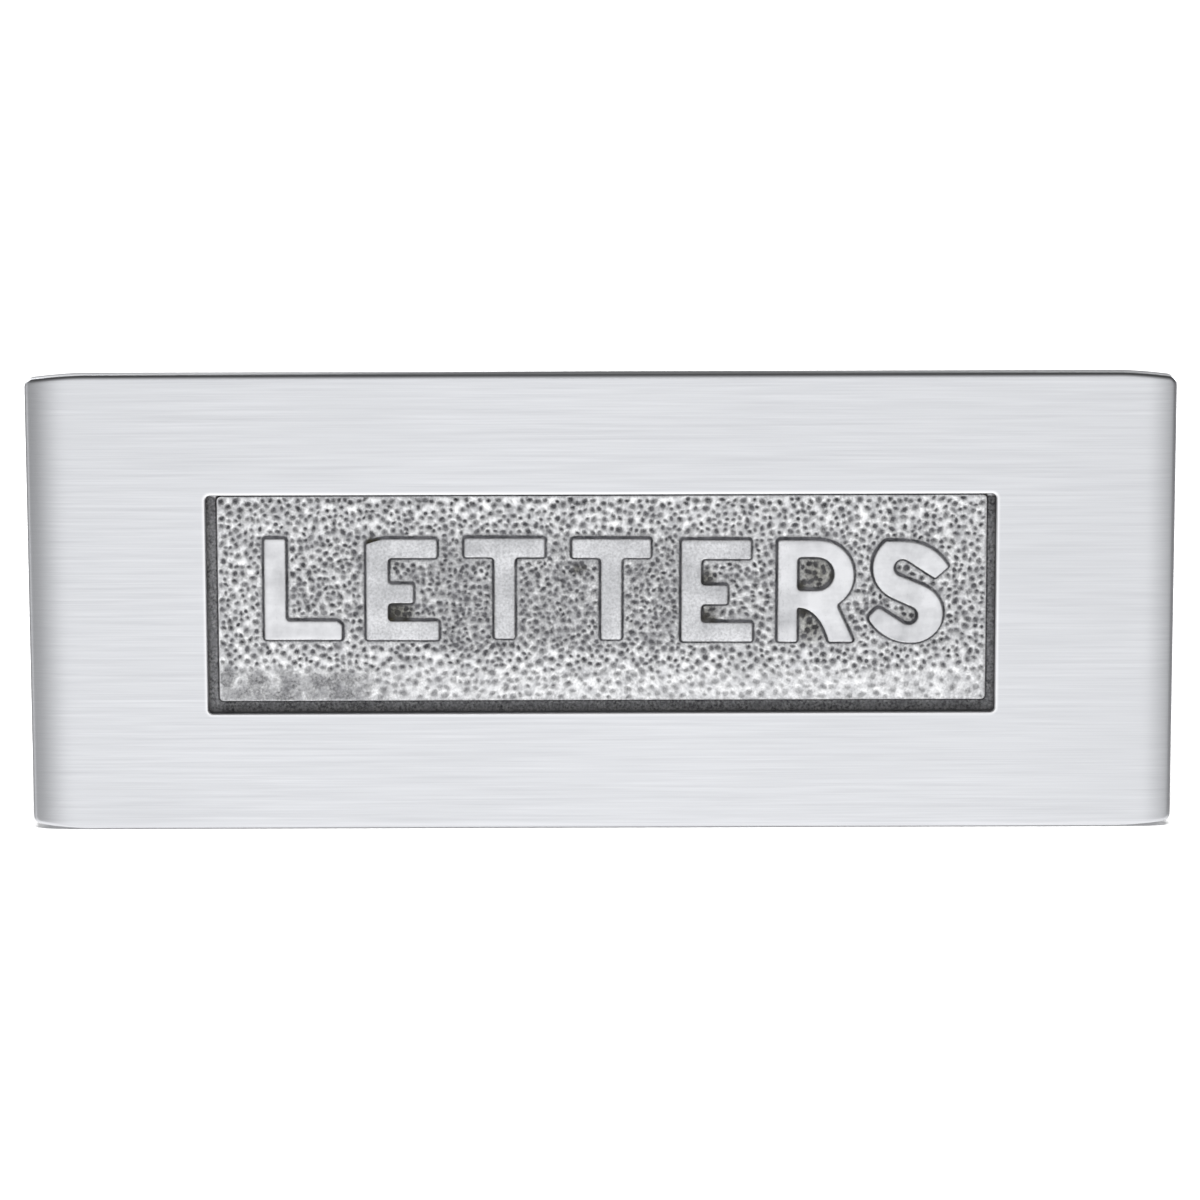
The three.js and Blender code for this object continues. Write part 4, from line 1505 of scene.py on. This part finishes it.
def zinc_plate(tree):
    """Bright zinc plate: crystals a little apart in tone, with a faint yellow and blue cast."""
    flakes = grain(tree, (800, 800, 800), 3, 0.6)
    cast = grain(tree, (110, 110, 110), 2, 0.5)
    tint = shade(tree, cast, MIDDLE, ZINC_BLUE, ZINC_YELLOW)
    return {
        "Base Color": shade(tree, flakes, (0.35, 0.7), tint, ZINC_FLAKE, 0.5),
        "Roughness": remap(tree, flakes, BROAD, (0.28, 0.44)),
        "Normal": bump(tree, flakes, 0.2, 0.00004),
    }


def pale(tree):
    """The floor's paint, very slightly uneven."""
    return {"Base Color": shade(tree, grain(tree, (3, 3, 3)), BROAD, FLOOR_DARK, FLOOR_LIGHT)}


# ---- Stage, light and camera ----

CAMERA_DISTANCE = 1.0
CAMERA_ELEVATION = radians(9)
CAMERA_ROLL = radians(-0.17)
FRAME_WIDTH = 0.2658  # how much the picture takes in at the plate, in metres
AIM = (-0.25, 0.6)  # x and z of the plate that the camera looks at, in millimetres
FLOOR_RINGS = (300, 800, 2000, 5000, 12000)


def make_camera():
    data = bpy.data.cameras.new("camera")
    data.sensor_width = 36
    data.lens = data.sensor_width * CAMERA_DISTANCE / FRAME_WIDTH
    data.clip_start = 0.05
    data.clip_end = 60
    camera = placed("camera", data)
    bpy.context.scene.camera = camera
    aim = Vector((AIM[0], PLATE_FRONT, AIM[1])) * MM
    back = Vector((0, -cos(CAMERA_ELEVATION), sin(CAMERA_ELEVATION)))
    camera.location = aim + back * CAMERA_DISTANCE
    camera.rotation_mode = "QUATERNION"
    turn = (-back).to_track_quat("-Z", "Y")
    camera.rotation_quaternion = turn @ Quaternion((0, 0, 1), CAMERA_ROLL)


def make_floor():
    """A plain pale floor that the plate stands on. It isn't mirrored in the metal."""
    steps = 96
    points, faces = loft([circle(radius, 0, steps)[:, [0, 2, 1]] for radius in FLOOR_RINGS])
    centre = len(points)
    points.append((0, 0, 0))
    faces += [(centre, i, (i + 1) % steps) for i in range(steps)]
    floor = make("floor", points, faces)
    floor.location.z = PLATE_LOW[2] * MM - 0.0002
    floor.data.materials.append(surface("pale_floor", pale, Roughness=0.9, Specular_IOR_Level=0.1))
    floor.visible_glossy = False
    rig.stage(floor)


def curve(tree, value, stops):
    """A smooth grey curve through (position, level) stops, for a value from -1 to 1."""
    ramp = add(tree, "ShaderNodeValToRGB", Fac=remap(tree, value, (-1, 1), (0, 1)))
    elements = ramp.color_ramp.elements
    while len(elements) < len(stops):
        elements.new(0.5)
    for element, (position, level) in zip(elements, stops):
        element.position = (position + 1) / 2
        element.color = (level, level, level, 1)
    ramp.color_ramp.interpolation = "EASE"
    return ramp.outputs["Color"]


ACROSS = (
    (-1, 0.95),
    (-0.9, 0.4),
    (-0.62, 0.18),
    (-0.4, 0.58),
    (-0.22, 0.84),
    (-0.08, 0.98),
    (0.06, 1.0),
    (0.16, 0.84),
    (0.4, 0.66),
    (0.6, 0.42),
    (0.8, 0.14),
    (1, 0.06),
)
AHEAD = ((-1, 1.0), (-0.35, 0.95), (0.05, 0.55), (0.5, 0.35), (1, 0.3))
HIGH = ((-1, 0.91), (-0.5, 1.0), (-0.25, 0.985), (-0.1, 0.88), (0.15, 0.73), (0.5, 0.38), (1, 0.07))
BELOW = ((-1, 0.91), (-0.6, 0.86), (-0.3, 0.36), (-0.1, 0.0), (1, 0.0))
SKY_LEVEL = 1.62
BACKDROP = 1.05


def make_world():
    """What the metal mirrors: bright in front, darker to the sides and above. The camera sees plain white."""
    world = bpy.data.worlds.new("studio")
    bpy.context.scene.world = world
    world.use_nodes = True
    tree = world.node_tree
    tree.nodes.clear()
    direction = add(tree, "ShaderNodeTexCoord").outputs["Generated"]
    xyz = add(tree, "ShaderNodeSeparateXYZ", Vector=direction)
    across = curve(tree, xyz.outputs["X"], ACROSS)
    ahead = curve(tree, xyz.outputs["Y"], AHEAD)
    high = curve(tree, xyz.outputs["Z"], HIGH)
    sky = times(tree, times(tree, across, ahead), high)
    level = maths(tree, "MAXIMUM", sky, curve(tree, xyz.outputs["Z"], BELOW))
    seen = add(tree, "ShaderNodeLightPath").outputs["Is Camera Ray"]
    mirrored = add(tree, "ShaderNodeBackground", Color=level, Strength=SKY_LEVEL).outputs["Background"]
    backdrop = add(tree, "ShaderNodeBackground", Color=(1, 1, 1, 1), Strength=BACKDROP).outputs["Background"]
    mixed = tree.nodes.new("ShaderNodeMixShader")
    for socket, value in zip(mixed.inputs, (seen, mirrored, backdrop)):
        feed(tree, socket, value)
    add(tree, "ShaderNodeOutputWorld", Surface=mixed.outputs[0])


def aimed_light(name, kind, location, energy, **settings):
    data = bpy.data.lights.new(name, kind)
    data.energy = energy
    for key, value in settings.items():
        setattr(data, key, value)
    light = placed(name, data)
    light.location = location
    light.rotation_mode = "QUATERNION"
    light.rotation_quaternion = (-Vector(location)).to_track_quat("-Z", "Y")
    light.visible_camera = False
    return light


def make_lights():
    """A broad overhead light for the floor, and two soft boxes behind for the plate's back."""
    overhead = aimed_light("overhead", "SUN", (0, -0.9, 1.6), 4.4, angle=radians(35))
    overhead.visible_glossy = False
    aimed_light("rear_left", "AREA", (-0.9, 1.0, 0.75), 9, shape="RECTANGLE", size=0.9, size_y=0.6)
    aimed_light("rear_right", "AREA", (1.0, 0.9, 0.55), 7, shape="RECTANGLE", size=0.7, size_y=0.7)


# ---- The piece list ----

scene = bpy.context.scene
scene.view_settings.view_transform = "Standard"
scene.view_settings.look = "None"
make_camera()
make_world()
make_lights()
make_floor()

brushed_along = {"Anisotropic": 0.75, "Anisotropic_Rotation": 0.25}
front_plate(surface("satin_chrome_plate", satin_chrome, Metallic=1.0, **brushed_along))
flap(surface("aged_casting_plate", aged_casting))
hinge_pin(surface("drawn_steel", turned_steel, Metallic=1.0))
spring_metal = surface("spring_steel_wire", spring_steel, Metallic=1.0)
zinc = surface("bright_zinc", zinc_plate, Metallic=1.0)
for hand, side in (("left", -1), ("right", 1)):
    spring(hand, side, spring_metal)
    pin_clip(hand, side, spring_metal)
    stud(hand, side, zinc)
    washer(hand, side, zinc)
    nut(hand, side, zinc)

visual_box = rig.bounds()
with open("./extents.json", "w") as size_file:
    json.dump(
        {"cad": [list(corner) for corner in cad_box], "visual": [list(corner) for corner in visual_box]},
        size_file,
    )
